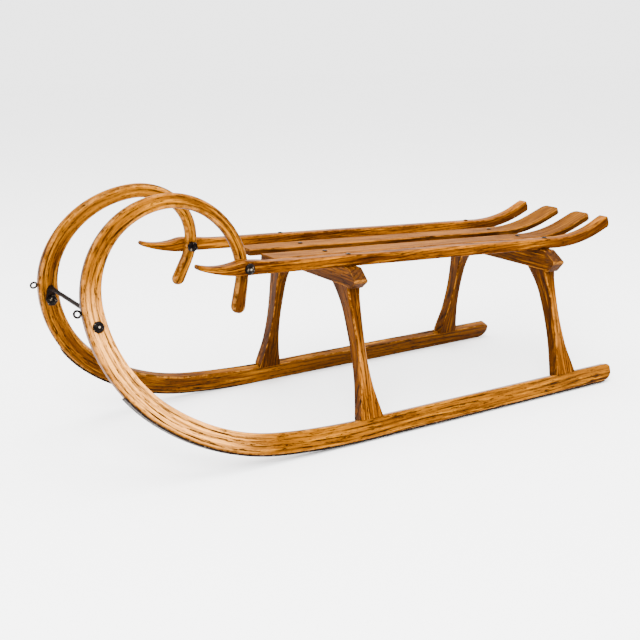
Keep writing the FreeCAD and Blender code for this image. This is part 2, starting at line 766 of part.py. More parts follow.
def make_rail(side, side_name):
    body = new_body("side_rail_" + side_name, deck_frame())
    deep = size("rail_depth")
    rear = size("rail_rear_x")
    bend = size("rail_bend_x")
    radius = size("rail_bend_radius")
    sweep = size("rail_bend_sweep")
    a, m, b, e = rising_top(bend, deep, radius, sweep, rear + 5.0)
    la, lm, lb, le = rising_top(bend, 0.0, radius + deep, sweep, rear + 1.0)
    nose = (size("nose_x"), size("nose_z"))
    nose_top = (size("nose_top_x"), size("nose_top_z"))
    nose_low = (size("nose_low_x"), size("nose_low_z"))
    chin_start = (size("chin_start_x"), 0.0)
    dip = (size("dip_x"), size("dip_z"))
    crown = size("hump_z") - size("hump_crown")
    hump_front = (size("hump_x") + size("hump_half_length"), crown)
    hump_rear = (size("hump_x") - size("hump_half_length"), crown)
    hump_start = (size("hump_start_x"), deep)
    edges = [
        line(la, chin_start),
        arc(chin_start, (size("chin_x"), size("chin_z")), nose_low),
        arc(nose_low, nose, nose_top),
        arc(nose_top, dip, hump_front),
        arc(hump_front, (size("hump_x"), size("hump_z")), hump_rear),
        line(hump_rear, hump_start),
        line(hump_start, a),
        arc(a, m, b),
        line(b, e),
        arc(e, (rear + 1.2, (e[1] + le[1]) / 2), le),
        line(le, lb),
        arc(lb, lm, la),
    ]
    middle = size("rail_inner_y") + size("rail_width") / 2
    shift = Placement(V(0, 0, -side * middle), Rotation())
    pad(body, sketch(body, "XZ_Plane", edges, shift), "rail_width")
    half = size("rail_width") / 2
    # rounded behind the hump; the nose keeps its square arrises
    dress(body, "Fillet", "Radius", "rail_edge",
          lambda e: runs_along(e, side * middle, half) and e.BoundBox.XMax < size("hump_x"))
    stem, y, seat = screw_places()[1]
    for screw_x in (size("screw_front_x"), size("screw_rear_x")):
        screw_hole(body, screw_x, side * y, seat + 1.0, size("screw_length"))
    # housing on the inner face where the leaning horn passes
    to_body = body.Placement.inverse()
    lean = math.degrees(SOLE[-1][3]) - 270.0
    wide = size("horn_depth") + 3.0
    horn = runner_frame(side)
    middle_w = (size("horn_bolt_z") - size("runner_floor_z")) / math.cos(CANT)
    spot = Placement(V(size("horn_bolt_x"), 0, middle_w), Rotation(V(0, 1, 0), -lean))
    tall = 3 * SPARE
    face = size("horn_width") / 2
    corner_y = face - SPARE if side == LEFT else -face
    corner = Placement(V(-wide / 2, corner_y, -tall / 2), Rotation())
    cut_box(body, (wide, SPARE, tall), to_body.multiply(horn).multiply(spot).multiply(corner))
    start = across(side, size("horn_bolt_x"), size("rail_inner_y") - SPARE, size("horn_bolt_z"))
    cut_cylinder(body, BOLT_BORE, 4 * SPARE, to_body.multiply(start))
    return body


# ---------------------------------------------------------------- iron fittings

def turned(label, placement, points):
    """Solid of revolution about local Z; points are (radius, height)."""
    body = new_body(label, placement)
    profile = sketch(body, "XZ_Plane", points)
    item = body.newObject("PartDesign::Revolution", label + "_turned")
    item.Profile = profile
    item.ReferenceAxis = (profile, ["V_Axis"])
    item.Angle = 360.0
    body.Tip = item
    doc.recompute()
    return body


HEAD_RIM = 1.2
HORN_BOLT_RISE = 6.0
SPREADER_BOLT_RISE = 5.5
SCREW_RISE = 2.6
SCREW_RIM = 0.6
SCREW_POINT = 6.0


def dome_middle(head, rim, rise):
    """A point halfway round the ball-shaped dome from its rim to its crown."""
    ball = (head ** 2 + (rise - rim) ** 2) / (2 * (rise - rim))
    turn = math.asin(head / ball) / 2
    return ball * math.sin(turn), rise - ball * (1 - math.cos(turn))


def dome_profile(head, rise, shank, length):
    """Half outline of a domed bolt: head above height 0, shank below."""
    rim = HEAD_RIM
    return [
        line((0, -length), (shank, -length)),
        line((shank, -length), (shank, 0)),
        line((shank, 0), (head, 0)),
        line((head, 0), (head, rim)),
        arc((head, rim), dome_middle(head, rim, rise), (0, rise)),
        line((0, rise), (0, -length)),
    ]


def make_horn_bolt(side, side_name):
    head = size("bolt_head_diameter") / 2
    outer = size("rail_inner_y") + size("rail_width")
    length = outer - NUT_SEAT_Y + size("nut_height") + 3.0
    place = across(side, size("horn_bolt_x"), outer, size("horn_bolt_z"))
    edges = dome_profile(head, HORN_BOLT_RISE, size("bolt_diameter") / 2, length)
    return turned("horn_bolt_" + side_name, place, edges)


def make_nut(label, place, bore):
    """Square-cornered hexagon nut rising along local Z, bored for its bolt."""
    body = new_body(label, place)
    corner = size("nut_diameter") / 2 / math.cos(math.radians(30.0))
    turns = [math.radians(60.0 * step + 12.0) for step in range(6)]
    points = [(corner * math.cos(t), corner * math.sin(t)) for t in turns]
    profile = sketch(body, "XY_Plane", polygon(points) + [circle((0, 0), bore)])
    pad(body, profile, "nut_height", symmetric=False)
    return body


def make_spreader():
    body = new_body("spreader_rod", Placement())
    inner_face = plane_y(size("spreader_z")) - runner_width_at_spreader() / 2 / math.cos(CANT)
    reach = inner_face - 1.5
    across_rod = sketch(body, "XZ_Plane",
                        [circle((size("spreader_x"), size("spreader_z")), size("spreader_diameter") / 2)])
    pad(body, across_rod, 2 * reach)
    for side, side_name in SIDES:
        wide = size("spreader_eye_width") / 2
        x = size("spreader_x")
        neck = size("spreader_neck_width") / 2
        low, high = SPREADER_BOLT_W, SPREADER_ROD_W + 1.0
        outline = [
            arc((x - wide, low), (x, low - wide), (x + wide, low)),
            line((x + wide, low), (x + neck, high)),
            arc((x + neck, high), (x, high + neck), (x - neck, high)),
            line((x - neck, high), (x - wide, low)),
            circle((x, low), BORE_RADIUS),
        ]
        # the eye's sketch lies in the runner's leaning plane, at the inner face
        face = runner_width_at_spreader() / 2
        base = V(0, side * size("runner_floor_y"), size("runner_floor_z"))
        turn = Rotation(V(1, 0, 0), side * size("cant_angle"))
        inside = turn.multVec(V(0, -side * (face + size("spreader_eye_thickness") / 2 + HAIR), 0))
        offset = Placement(V(base.x, base.z + inside.z, -(base.y + inside.y)), turn)
        eye = sketch(body, "XZ_Plane", outline, offset)
        pad(body, eye, "spreader_eye_thickness")
    return body


def make_spreader_bolt(side, side_name):
    face = runner_width_at_spreader() / 2
    frame = runner_frame(side)
    spot = Placement(V(size("spreader_x"), side * face, SPREADER_BOLT_W), Rotation(V(1, 0, 0), -90.0 * side))
    length = 2 * face + size("spreader_eye_thickness") + size("nut_height") + 2.5
    head = size("bolt_head_diameter") / 2
    edges = dome_profile(head, SPREADER_BOLT_RISE, size("bolt_diameter") / 2, length)
    return turned("spreader_bolt_" + side_name, frame.multiply(spot), edges)


def make_spreader_nut(side, side_name):
    face = runner_width_at_spreader() / 2 + size("spreader_eye_thickness") + 2 * HAIR
    spot = Placement(V(size("spreader_x"), -side * face, SPREADER_BOLT_W), Rotation(V(1, 0, 0), 90.0 * side))
    place = runner_frame(side).multiply(spot)
    return make_nut("spreader_nut_" + side_name, place, size("bolt_diameter") / 2 + HAIR)


def make_horn_nut(side, side_name):
    spot = across(side, size("horn_bolt_x"), NUT_SEAT_Y, size("horn_bolt_z"))
    place = spot.multiply(Placement(V(0, 0, 0), Rotation(V(1, 0, 0), 180.0)))
    return make_nut("horn_bolt_nut_" + side_name, place, size("bolt_diameter") / 2 + HAIR)


def make_tow_eye(side, side_name):
    """Screw eye: a wire ring on a shank driven into the runner's front face."""
    body = new_body("tow_eye_" + side_name, runner_frame(side).multiply(eye_frame(side, 0.0)))
    wire = size("eye_wire_diameter") / 2
    ring_middle = size("eye_ring_diameter") / 2 + wire - 0.4
    item = body.newObject("PartDesign::AdditiveTorus", body.Label + "_ring")
    item.setExpression("Radius1", "Sizes.eye_ring_diameter / 2")
    item.setExpression("Radius2", "Sizes.eye_wire_diameter / 2")
    item.Placement = Placement(V(0, 0, ring_middle), Rotation(V(1, 0, 0), 90.0))
    body.Tip = item
    doc.recompute()
    driven = size("eye_bore") - 1.0
    shank = sketch(body, "XY_Plane", [circle((0, 0), size("eye_shank_diameter") / 2 - HAIR)],
                   Placement(V(0, 0, -driven), Rotation()))
    pad(body, shank, driven + wire * 0.6, symmetric=False)
    return body


def make_screws(stem, side, side_name, y, seat):
    """Two round-headed screws, one over each beam, as separate solids in one node."""
    head = size("screw_head_diameter") / 2
    shank = size("screw_shank_diameter") / 2 - HAIR
    length = size("screw_length")
    solids = []
    for x in (size("screw_front_x"), size("screw_rear_x")):
        outline = [
            V(0, 0, -length), V(shank * 0.5, 0, -length), V(shank, 0, SCREW_POINT - length),
            V(shank, 0, 0), V(head, 0, 0), V(head, 0, SCREW_RIM),
        ]
        edges = [Part.makeLine(a, b) for a, b in zip(outline, outline[1:])]
        top = V(0, 0, SCREW_RISE)
        middle = dome_middle(head, SCREW_RIM, SCREW_RISE)
        edges.append(Part.Arc(outline[-1], V(middle[0], 0, middle[1]), top).toShape())
        edges.append(Part.makeLine(top, outline[0]))
        screw = Part.Face(Part.Wire(edges)).revolve(V(0, 0, 0), V(0, 0, 1), 360.0)
        screw.translate(V(x, side * y, seat))
        solids.append(screw)
    item = doc.addObject("Part::Feature", stem + side_name)
    item.Label = stem + side_name
    item.Shape = Part.makeCompound(solids)
    item.Placement = deck_frame()
    return item


pieces = []
for side, side_name in SIDES:
    pieces.append(make_runner(side, side_name))
    pieces.append(make_shoe(side, side_name))
    for name, beam_x, foot_step, beam_depth in LEGS:
        pieces.append(make_leg(side, side_name, name, beam_x, foot_step, beam_depth))
    pieces.append(make_slat(side, side_name))
    pieces.append(make_rail(side, side_name))
    pieces.append(make_horn_bolt(side, side_name))
    pieces.append(make_horn_nut(side, side_name))
    pieces.append(make_spreader_bolt(side, side_name))
    pieces.append(make_spreader_nut(side, side_name))
    pieces.append(make_tow_eye(side, side_name))
    for stem, y, seat in screw_places():
        pieces.append(make_screws(stem, side, side_name, y, seat))
for name, beam_x, foot_step, beam_depth in LEGS:
    pieces.append(make_beam(name, beam_x, foot_step, beam_depth, size("screw_%s_x" % name)))
pieces.append(make_spreader())

doc.recompute()
for item in doc.Objects:
    if "Invalid" in item.State or "Error" in item.State:
        raise RuntimeError("%s is %s" % (item.Name, item.State))

os.makedirs("parts", exist_ok=True)
for piece in pieces:
    shape = piece.Shape
    if shape.isNull() or not shape.isValid():
        raise RuntimeError(piece.Label + " has no valid shape")
    print("%-24s %2d solids %10.1f mm3" % (piece.Label, len(shape.Solids), shape.Volume))
    shape.exportStep("parts/" + piece.Label + ".step")
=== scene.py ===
import math

import bpy
from mathutils import Matrix, Vector, noise


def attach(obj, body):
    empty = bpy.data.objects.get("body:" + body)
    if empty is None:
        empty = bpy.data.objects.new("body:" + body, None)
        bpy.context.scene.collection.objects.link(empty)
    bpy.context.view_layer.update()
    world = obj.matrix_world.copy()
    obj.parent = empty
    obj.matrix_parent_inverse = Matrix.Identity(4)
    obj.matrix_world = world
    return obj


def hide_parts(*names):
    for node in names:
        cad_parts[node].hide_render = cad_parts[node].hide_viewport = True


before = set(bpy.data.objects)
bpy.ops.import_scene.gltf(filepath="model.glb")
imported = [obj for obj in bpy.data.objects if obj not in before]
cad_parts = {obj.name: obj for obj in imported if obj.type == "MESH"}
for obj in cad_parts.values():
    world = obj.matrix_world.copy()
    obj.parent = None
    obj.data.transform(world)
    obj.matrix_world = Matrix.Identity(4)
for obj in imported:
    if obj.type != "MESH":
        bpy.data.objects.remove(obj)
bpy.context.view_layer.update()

MM = 0.001

# ---- dimensions, millimetres and degrees

CANT = math.radians(16.5)
PITCH = math.radians(2.9)
RUNNER_FLOOR_Y = 203.8
RUNNER_FLOOR_Z = 3.5
RUNNER_REAR_X = -524.0
CURVE_START_X = 83.0
CURVES = ((1634.0, 6.4), (388.0, 35.3), (274.0, 44.2), (175.0, 91.3), (129.0, 110.1))
HORN_END_LENGTH = 55.0
RUNNER_WIDTH = 20.0
HORN_WIDTH = 16.5
REAR_DEPTH = 33.0
SOLE_DEPTH = 36.0
FRONT_DEPTH = 37.5
HORN_DEPTH = 22.5
HORN_KNOB_DEPTH = 25.0
REAR_TOP_RADIUS = 10.0
REAR_SOLE_RADIUS = 20.0
REAR_EDGE_RADIUS = 2.0
SHOE_WIDTH = 19.0
SHOE_THICKNESS = 3.0
SHOE_SEAT = 0.5
SHOE_END_HEADING = 56.0
DECK_HEIGHT = 305.5
BEAM_THICKNESS = 28.0
BEAMS = (("front", 77.0, 34.5, 0.0), ("rear", -391.0, 39.5, -7.0))
KNOB_REACH = 26.5
KNOB_TOP = 147.0
KNOB_LIP = 6.5
KNOB_TIP_DROP = 21.0
LEG_FOOT_LENGTH = 48.0
LEG_WAIST_LENGTH = 18.0
LEG_WAIST_HEIGHT = 130.0
LEG_KNEE_LENGTH = 29.2
LEG_NECK_LENGTH = 21.2
LEG_FOOT_OUT = 12.0
LEG_SPLAY = math.radians(2.0)
LEG_FOOT_THICKNESS = 24.0
LEG_NECK_THICKNESS = 33.0
HAUNCH_THICKNESS = 50.0
HAUNCH_MIDDLE_THICKNESS = 39.7
HAUNCH_LENGTH = 52.0
HAUNCH_MIDDLE = 22.0
LEG_SEAT_DEPTH = 0.5
LEG_FOOT_UPRIGHT = 3.0
LEG_CHAMFER = 3.4
KNEE_SHARE = 0.4
SLAT_MIDDLE_Y = 46.5
SLAT_WIDTH = 51.0
SLAT_THICKNESS = 12.5
SLAT_FRONT_X = 199.0
SLAT_BEND_X = -419.0
SLAT_BEND_RADIUS = 290.0
SLAT_BEND_SWEEP = 22.9
SLAT_REAR_X = -582.5
SLAT_CORNER = 12.0
RAIL_INNER_Y = 111.5
RAIL_WIDTH = 26.0
RAIL_DEPTH = 20.5
RAIL_BEND_X = -423.0
RAIL_BEND_RADIUS = 280.0
RAIL_BEND_SWEEP = 25.0
RAIL_REAR_X = -569.0
SCREW_FRONT_X = 77.0
SCREW_REAR_X = -397.0
SCREW_HEAD = 10.0
SCREW_HEAD_HEIGHT = 2.6
SCREW_DIAMETER = 4.16
SCREW_LENGTH = 34.0
HORN_BOLT_X = 281.0
HORN_BOLT_Z = 331.0
BOLT_DIAMETER = 7.0
BOLT_HEAD = 19.0
HORN_HEAD_HEIGHT = 6.0
SPREADER_HEAD_HEIGHT = 5.5
HEAD_RIM = 1.2
NUT_ACROSS = 18.0
NUT_HEIGHT = 7.0
NUT_CORNER = 1.12
SPREADER_X = 551.0
SPREADER_Z = 286.5
SPREADER_BOLT_Z = 268.5
SPREADER_DIAMETER = 7.4
SPREADER_EYE_WIDTH = 18.0
SPREADER_EYE_THICKNESS = 5.0
SPREADER_FLARE = 16.0
ROD_END_SHARE = 0.72
EYE_RING = 10.8
EYE_WIRE = 3.8
EYE_RING_Z = 293.0
EYE_SHANK = 3.9
EYE_SHANK_LENGTH = 22.0
FIT = 0.02

LEFT = 1
RIGHT = -1
SIDES = ((LEFT, "left"), (RIGHT, "right"))
COS_CANT = math.cos(CANT)
SIN_CANT = math.sin(CANT)


# ---- frames: millimetres in, millimetres out

def runner_point(side, x, out, w):
    """Where a point of a runner's leaning plane stands: out is outwards, w is up the plane."""
    y = RUNNER_FLOOR_Y + out * COS_CANT - w * SIN_CANT
    z = RUNNER_FLOOR_Z + out * SIN_CANT + w * COS_CANT
    return Vector((x, side * y, z))


def deck_point(x, y, z):
    """Where a point of the pitched deck stands; the deck's zero is the beams' tops."""
    level_x = x * math.cos(PITCH) - z * math.sin(PITCH)
    level_z = DECK_HEIGHT + x * math.sin(PITCH) + z * math.cos(PITCH)
    return Vector((level_x, y, level_z))


def plane_y(z):
    """Distance of a runner's centre plane from the sledge's middle, at height z."""
    return RUNNER_FLOOR_Y - (z - RUNNER_FLOOR_Z) * math.tan(CANT)


def clamp(value, low=0.0, high=1.0):
    return max(low, min(high, value))


def smooth(value):
    """0 below 0, 1 above 1 and an easy step between."""
    value = clamp(value)
    return value * value * (3 - 2 * value)


def blend(at, knots):
    """Value at a place along (place, value) knots, straight between them."""
    if at <= knots[0][0]:
        return knots[0][1]
    for (a, low), (b, high) in zip(knots, knots[1:]):
        if at <= b:
            return low + (high - low) * (at - a) / (b - a)
    return knots[-1][1]


# ---- the sole line of the runners

def sole_pieces():
    """Straight and round stretches of the sole as (length, radius, x, w, heading)."""
    pieces = []
    x, w, heading = RUNNER_REAR_X, 0.0, 0.0
    pieces.append((CURVE_START_X - x, None, x, w, heading))
    x = CURVE_START_X
    for radius, sweep in CURVES:
        turn = math.radians(sweep)
        pieces.append((radius * turn, radius, x, w, heading))
        x += radius * (math.sin(heading + turn) - math.sin(heading))
        w += radius * (math.cos(heading) - math.cos(heading + turn))
        heading += turn
    pieces.append((HORN_END_LENGTH, None, x, w, heading))
    return pieces


SOLE = sole_pieces()
SOLE_LENGTH = sum(piece[0] for piece in SOLE)
CURVE_START = SOLE[0][0]


def sole_at(distance, inward=0.0):
    """(x, w, heading) of the point a distance along the sole and a depth into the wood."""
    left = distance
    for index, (length, radius, x, w, heading) in enumerate(SOLE):
        if left <= length or index == len(SOLE) - 1:
            break
        left -= length
    if radius is None:
        x += left * math.cos(heading)
        w += left * math.sin(heading)
    else:
        turned = heading + left / radius
        x += radius * (math.sin(turned) - math.sin(heading))
        w += radius * (math.cos(heading) - math.cos(turned))
        heading = turned
    return x - inward * math.sin(heading), w + inward * math.cos(heading), heading


def distance_at_heading(degrees):
    """Distance along the sole at which it has turned by an angle."""
    wanted = math.radians(degrees)
    travelled = 0.0
    for length, radius, _, _, heading in SOLE:
        if radius is not None and wanted <= heading + length / radius:
            return travelled + (wanted - heading) * radius
        travelled += length
    return SOLE_LENGTH


def front_at_height(w):
    """Distance along the sole at which the upright front reaches height w."""
    low, high = distance_at_heading(50.0), distance_at_heading(150.0)
    for _ in range(50):
        middle = (low + high) / 2
        if sole_at(middle)[1] < w:
            low = middle
        else:
            high = middle
    return low


def heading_knots(pairs):
    """Knots along the sole from (heading in degrees, value) pairs."""
    return [(distance_at_heading(angle), value) for angle, value in pairs]


DEPTHS = [(0.0, REAR_DEPTH), (CURVE_START, SOLE_DEPTH)]
DEPTHS += heading_knots([
    (12.0, FRONT_DEPTH), (66.0, FRONT_DEPTH), (86.0, FRONT_DEPTH - 2.0), (155.0, HORN_DEPTH + 6.0),
    (215.0, HORN_DEPTH + 0.7), (245.0, HORN_DEPTH),
])
DEPTHS += [(SOLE_LENGTH - HORN_END_LENGTH, HORN_DEPTH), (SOLE_LENGTH - 14.0, HORN_KNOB_DEPTH)]
WIDTHS = [(CURVE_START, RUNNER_WIDTH)]
WIDTHS += heading_knots([(42.0, RUNNER_WIDTH - 0.5), (86.0, RUNNER_WIDTH - 1.0), (180.0, HORN_WIDTH)])
ROUNDINGS = [(CURVE_START, 2.5)]
ROUNDINGS += heading_knots([(42.0, 5.0), (86.0, 5.5), (120.0, 6.3), (180.0, 7.0)])
SHOE_START = REAR_SOLE_RADIUS
SHOE_END = distance_at_heading(SHOE_END_HEADING)


def leg_seat(foot_x):
    half = LEG_FOOT_LENGTH / 2
    spots = (foot_x - half, foot_x, foot_x + half)
    return min(blend(x - RUNNER_REAR_X, DEPTHS) for x in spots) - LEG_SEAT_DEPTH


# ---- mesh building

def outline(half_a, half_b, radii, chamfer=(0, 0, 0, 0), steps=5, flats=(0.06, 0.3, 0.5, 0.7, 0.94)):
    """Round-cornered rectangle as (a, b, arris) points.

    Corners run (+a, -b), (+a, +b), (-a, +b), (-a, -b). chamfer 1 makes a corner flat, 0 round.
    """
    signs = ((1, -1), (1, 1), (-1, 1), (-1, -1))
    limit = min(half_a, half_b) * 0.98
    corners = []
    for index, (sa, sb) in enumerate(signs):
        radius = min(radii[index], limit)
        ca, cb = sa * (half_a - radius), sb * (half_b - radius)
        start = math.radians(-90 + 90 * index)
        points = []
        for step in range(steps + 1):
            share = step / steps
            angle = start + share * math.pi / 2
            arc, first, last = [Vector((ca + radius * math.cos(t), cb + radius * math.sin(t)))
                                for t in (angle, start, start + math.pi / 2)]
            place = arc.lerp(first.lerp(last, share), chamfer[index])
            points.append((place.x, place.y, math.sin(share * math.pi) * 0.5 + 0.5))
        corners.append(points)
    result = []
    for index in range(4):
        result += corners[index]
        a0, b0, _ = corners[index][-1]
        a1, b1, _ = corners[(index + 1) % 4][0]
        for share in flats:
            fade = abs(share - 0.5) * 2
            result.append((a0 + (a1 - a0) * share, b0 + (b1 - b0) * share, 0.5 * fade ** 4))
    return result


def make_object(name, points, faces, material, data, angle=38.0):
    """One piece in place of its node; data maps attribute names to per-point floats or 3-tuples."""
    mesh = bpy.data.meshes.new(name)
    mesh.from_pydata([tuple(c * MM for c in p) for p in points], [], faces)
    mesh.validate()
    for key, values in data.items():
        if isinstance(values[0], (tuple, list)):
            attribute = mesh.attributes.new(key, "FLOAT_VECTOR", "POINT")
            attribute.data.foreach_set("vector", [c for v in values for c in v])
        else:
            attribute = mesh.attributes.new(key, "FLOAT", "POINT")
            attribute.data.foreach_set("value", list(values))
    mesh.polygons.foreach_set("use_smooth", [True] * len(mesh.polygons))
    mesh.set_sharp_from_angle(angle=math.radians(angle))
    mesh.update()
    item = bpy.data.objects.new(name, mesh)
    bpy.context.scene.collection.objects.link(item)
    item.data.materials.append(material)
    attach(item, "root")
    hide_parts(name)


def stacked(rings, across):
    """Faces of rings of points stacked one on the other."""
    faces = []
    for r in range(rings - 1):
        for c in range(across):
            a = r * across + c
            b = r * across + (c + 1) % across
            faces.append((a, b, b + across, a + across))
    return faces


def capped(rings, across):
    """Faces of stacked rings, closed by fans about the two points that follow them."""
    hub = rings * across
    last = hub - across
    neighbours = [(c, (c + 1) % across) for c in range(across)]
    faces = stacked(rings, across)
    faces += [(b, a, hub) for a, b in neighbours]
    faces += [(last + a, last + b, hub + 1) for a, b in neighbours]
    return faces


def skin(rows):
    """Points and faces over rows of equal length, each row a closed ring."""
    across = len(rows[0])
    points = [point for row in rows for point in row]
    for row in (rows[0], rows[-1]):
        centre = sum((Vector(p[0]) for p in row), Vector()) / across
        grain = tuple(sum(p[1][k] for p in row) / across for k in range(3))
        extra = tuple(sum(p[k] for p in row) / across for k in range(2, len(row[0])))
        points.append((centre, grain) + extra)
    return points, capped(len(rows), across)


def circle(steps):
    """(cosine, sine) of equal steps round a circle."""
    return [(math.cos(2 * math.pi * k / steps), math.sin(2 * math.pi * k / steps)) for k in range(steps)]


def corner_cut(radius, distance):
    """How far a round corner has drawn in, a distance from the end it rounds."""
    return radius - math.sqrt(radius ** 2 - clamp(radius - distance, 0.0, radius) ** 2)


def turned_over(faces):
    return [tuple(reversed(face)) for face in faces]


def wooden(name, rows, material, mirrored=False):
    """A timber from rows of (position, grain, arris, pale, endgrain) points."""
    points, faces = skin(rows)
    if mirrored:
        faces = turned_over(faces)
    positions = [p[0] for p in points]
    data = {
        "grain": [p[1] for p in points],
        "arris": [p[2] for p in points],
        "wear_light_and_shade": [p[3] for p in points],
        "endgrain": [p[4] for p in points],
    }
    make_object(name, positions, faces, material, data)


def wobble(position, size, seed):
    """Small hand-made unevenness, in millimetres."""
    place = Vector(position) * 0.012 + Vector((seed * 7.1, seed * 3.3, seed * 1.7))
    return noise.noise(place) * size


# ---- materials

def tone(red, green, blue):
    """A linear colour."""
    return (red, green, blue, 1.0)


class Nodes:
    """Short calls for building a material's node tree."""

    def __init__(self, name):
        self.material = bpy.data.materials.new(name)
        self.material.use_nodes = True
        self.tree = self.material.node_tree
        self.tree.nodes.clear()
        self.shader = self.node("ShaderNodeBsdfPrincipled")
        self.link(self.shader.outputs[0], self.node("ShaderNodeOutputMaterial").inputs[0])

    def node(self, kind, **settings):
        item = self.tree.nodes.new(kind)
        for key, value in settings.items():
            setattr(item, key, value)
        return item

    def link(self, source, target):
        self.tree.links.new(source, target)

    def put(self, target, value):
        """Give an input a number, a tuple or another node's output."""
        if isinstance(value, (int, float, tuple)):
            target.default_value = value
        else:
            self.link(value, target)

    def fill(self, item, values):
        for key, value in values.items():
            self.put(item.inputs[key], value)

    def attribute(self, name, vector=False):
        item = self.node("ShaderNodeAttribute", attribute_name=name)
        return item.outputs["Vector"] if vector else item.outputs["Fac"]

    def math(self, operation, a, b=0.0, c=None, clamped=False):
        item = self.node("ShaderNodeMath", operation=operation, use_clamp=clamped)
        self.put(item.inputs[0], a)
        self.put(item.inputs[1], b)
        if c is not None:
            self.put(item.inputs[2], c)
        return item.outputs[0]

    def times(self, a, b):
        return self.math("MULTIPLY", a, b)

    def plus(self, a, b):
        return self.math("ADD", a, b)

    def scale(self, vector, factors, offset=(0.0, 0.0, 0.0)):
        item = self.node("ShaderNodeVectorMath", operation="MULTIPLY_ADD")
        self.fill(item, {0: vector, 1: factors, 2: offset})
        return item.outputs[0]

    def noise(self, vector, detail=3.0, rough=0.5):
        item = self.node("ShaderNodeTexNoise")
        self.fill(item, {"Vector": vector, "Scale": 1.0, "Detail": detail, "Roughness": rough})
        return item.outputs[0]

    def ramp(self, value, low, high, out_low=0.0, out_high=1.0):
        item = self.node("ShaderNodeMapRange", interpolation_type="SMOOTHSTEP")
        self.fill(item, {"Value": value, "From Min": low, "From Max": high})
        self.fill(item, {"To Min": out_low, "To Max": out_high})
        return item.outputs[0]

    def mix(self, share, a, b):
        item = self.node("ShaderNodeMix", data_type="RGBA", clamp_factor=True)
        self.fill(item, {0: share, 6: a, 7: b})
        return item.outputs[2]

    def surface(self, colour, rough, height, strength, depth):
        """Colour, roughness and a relief of a depth in metres."""
        bump = self.node("ShaderNodeBump")
        self.fill(bump, {"Strength": strength, "Distance": depth, "Height": height})
        self.fill(self.shader, {"Base Color": colour, "Roughness": rough, "Normal": bump.outputs[0]})


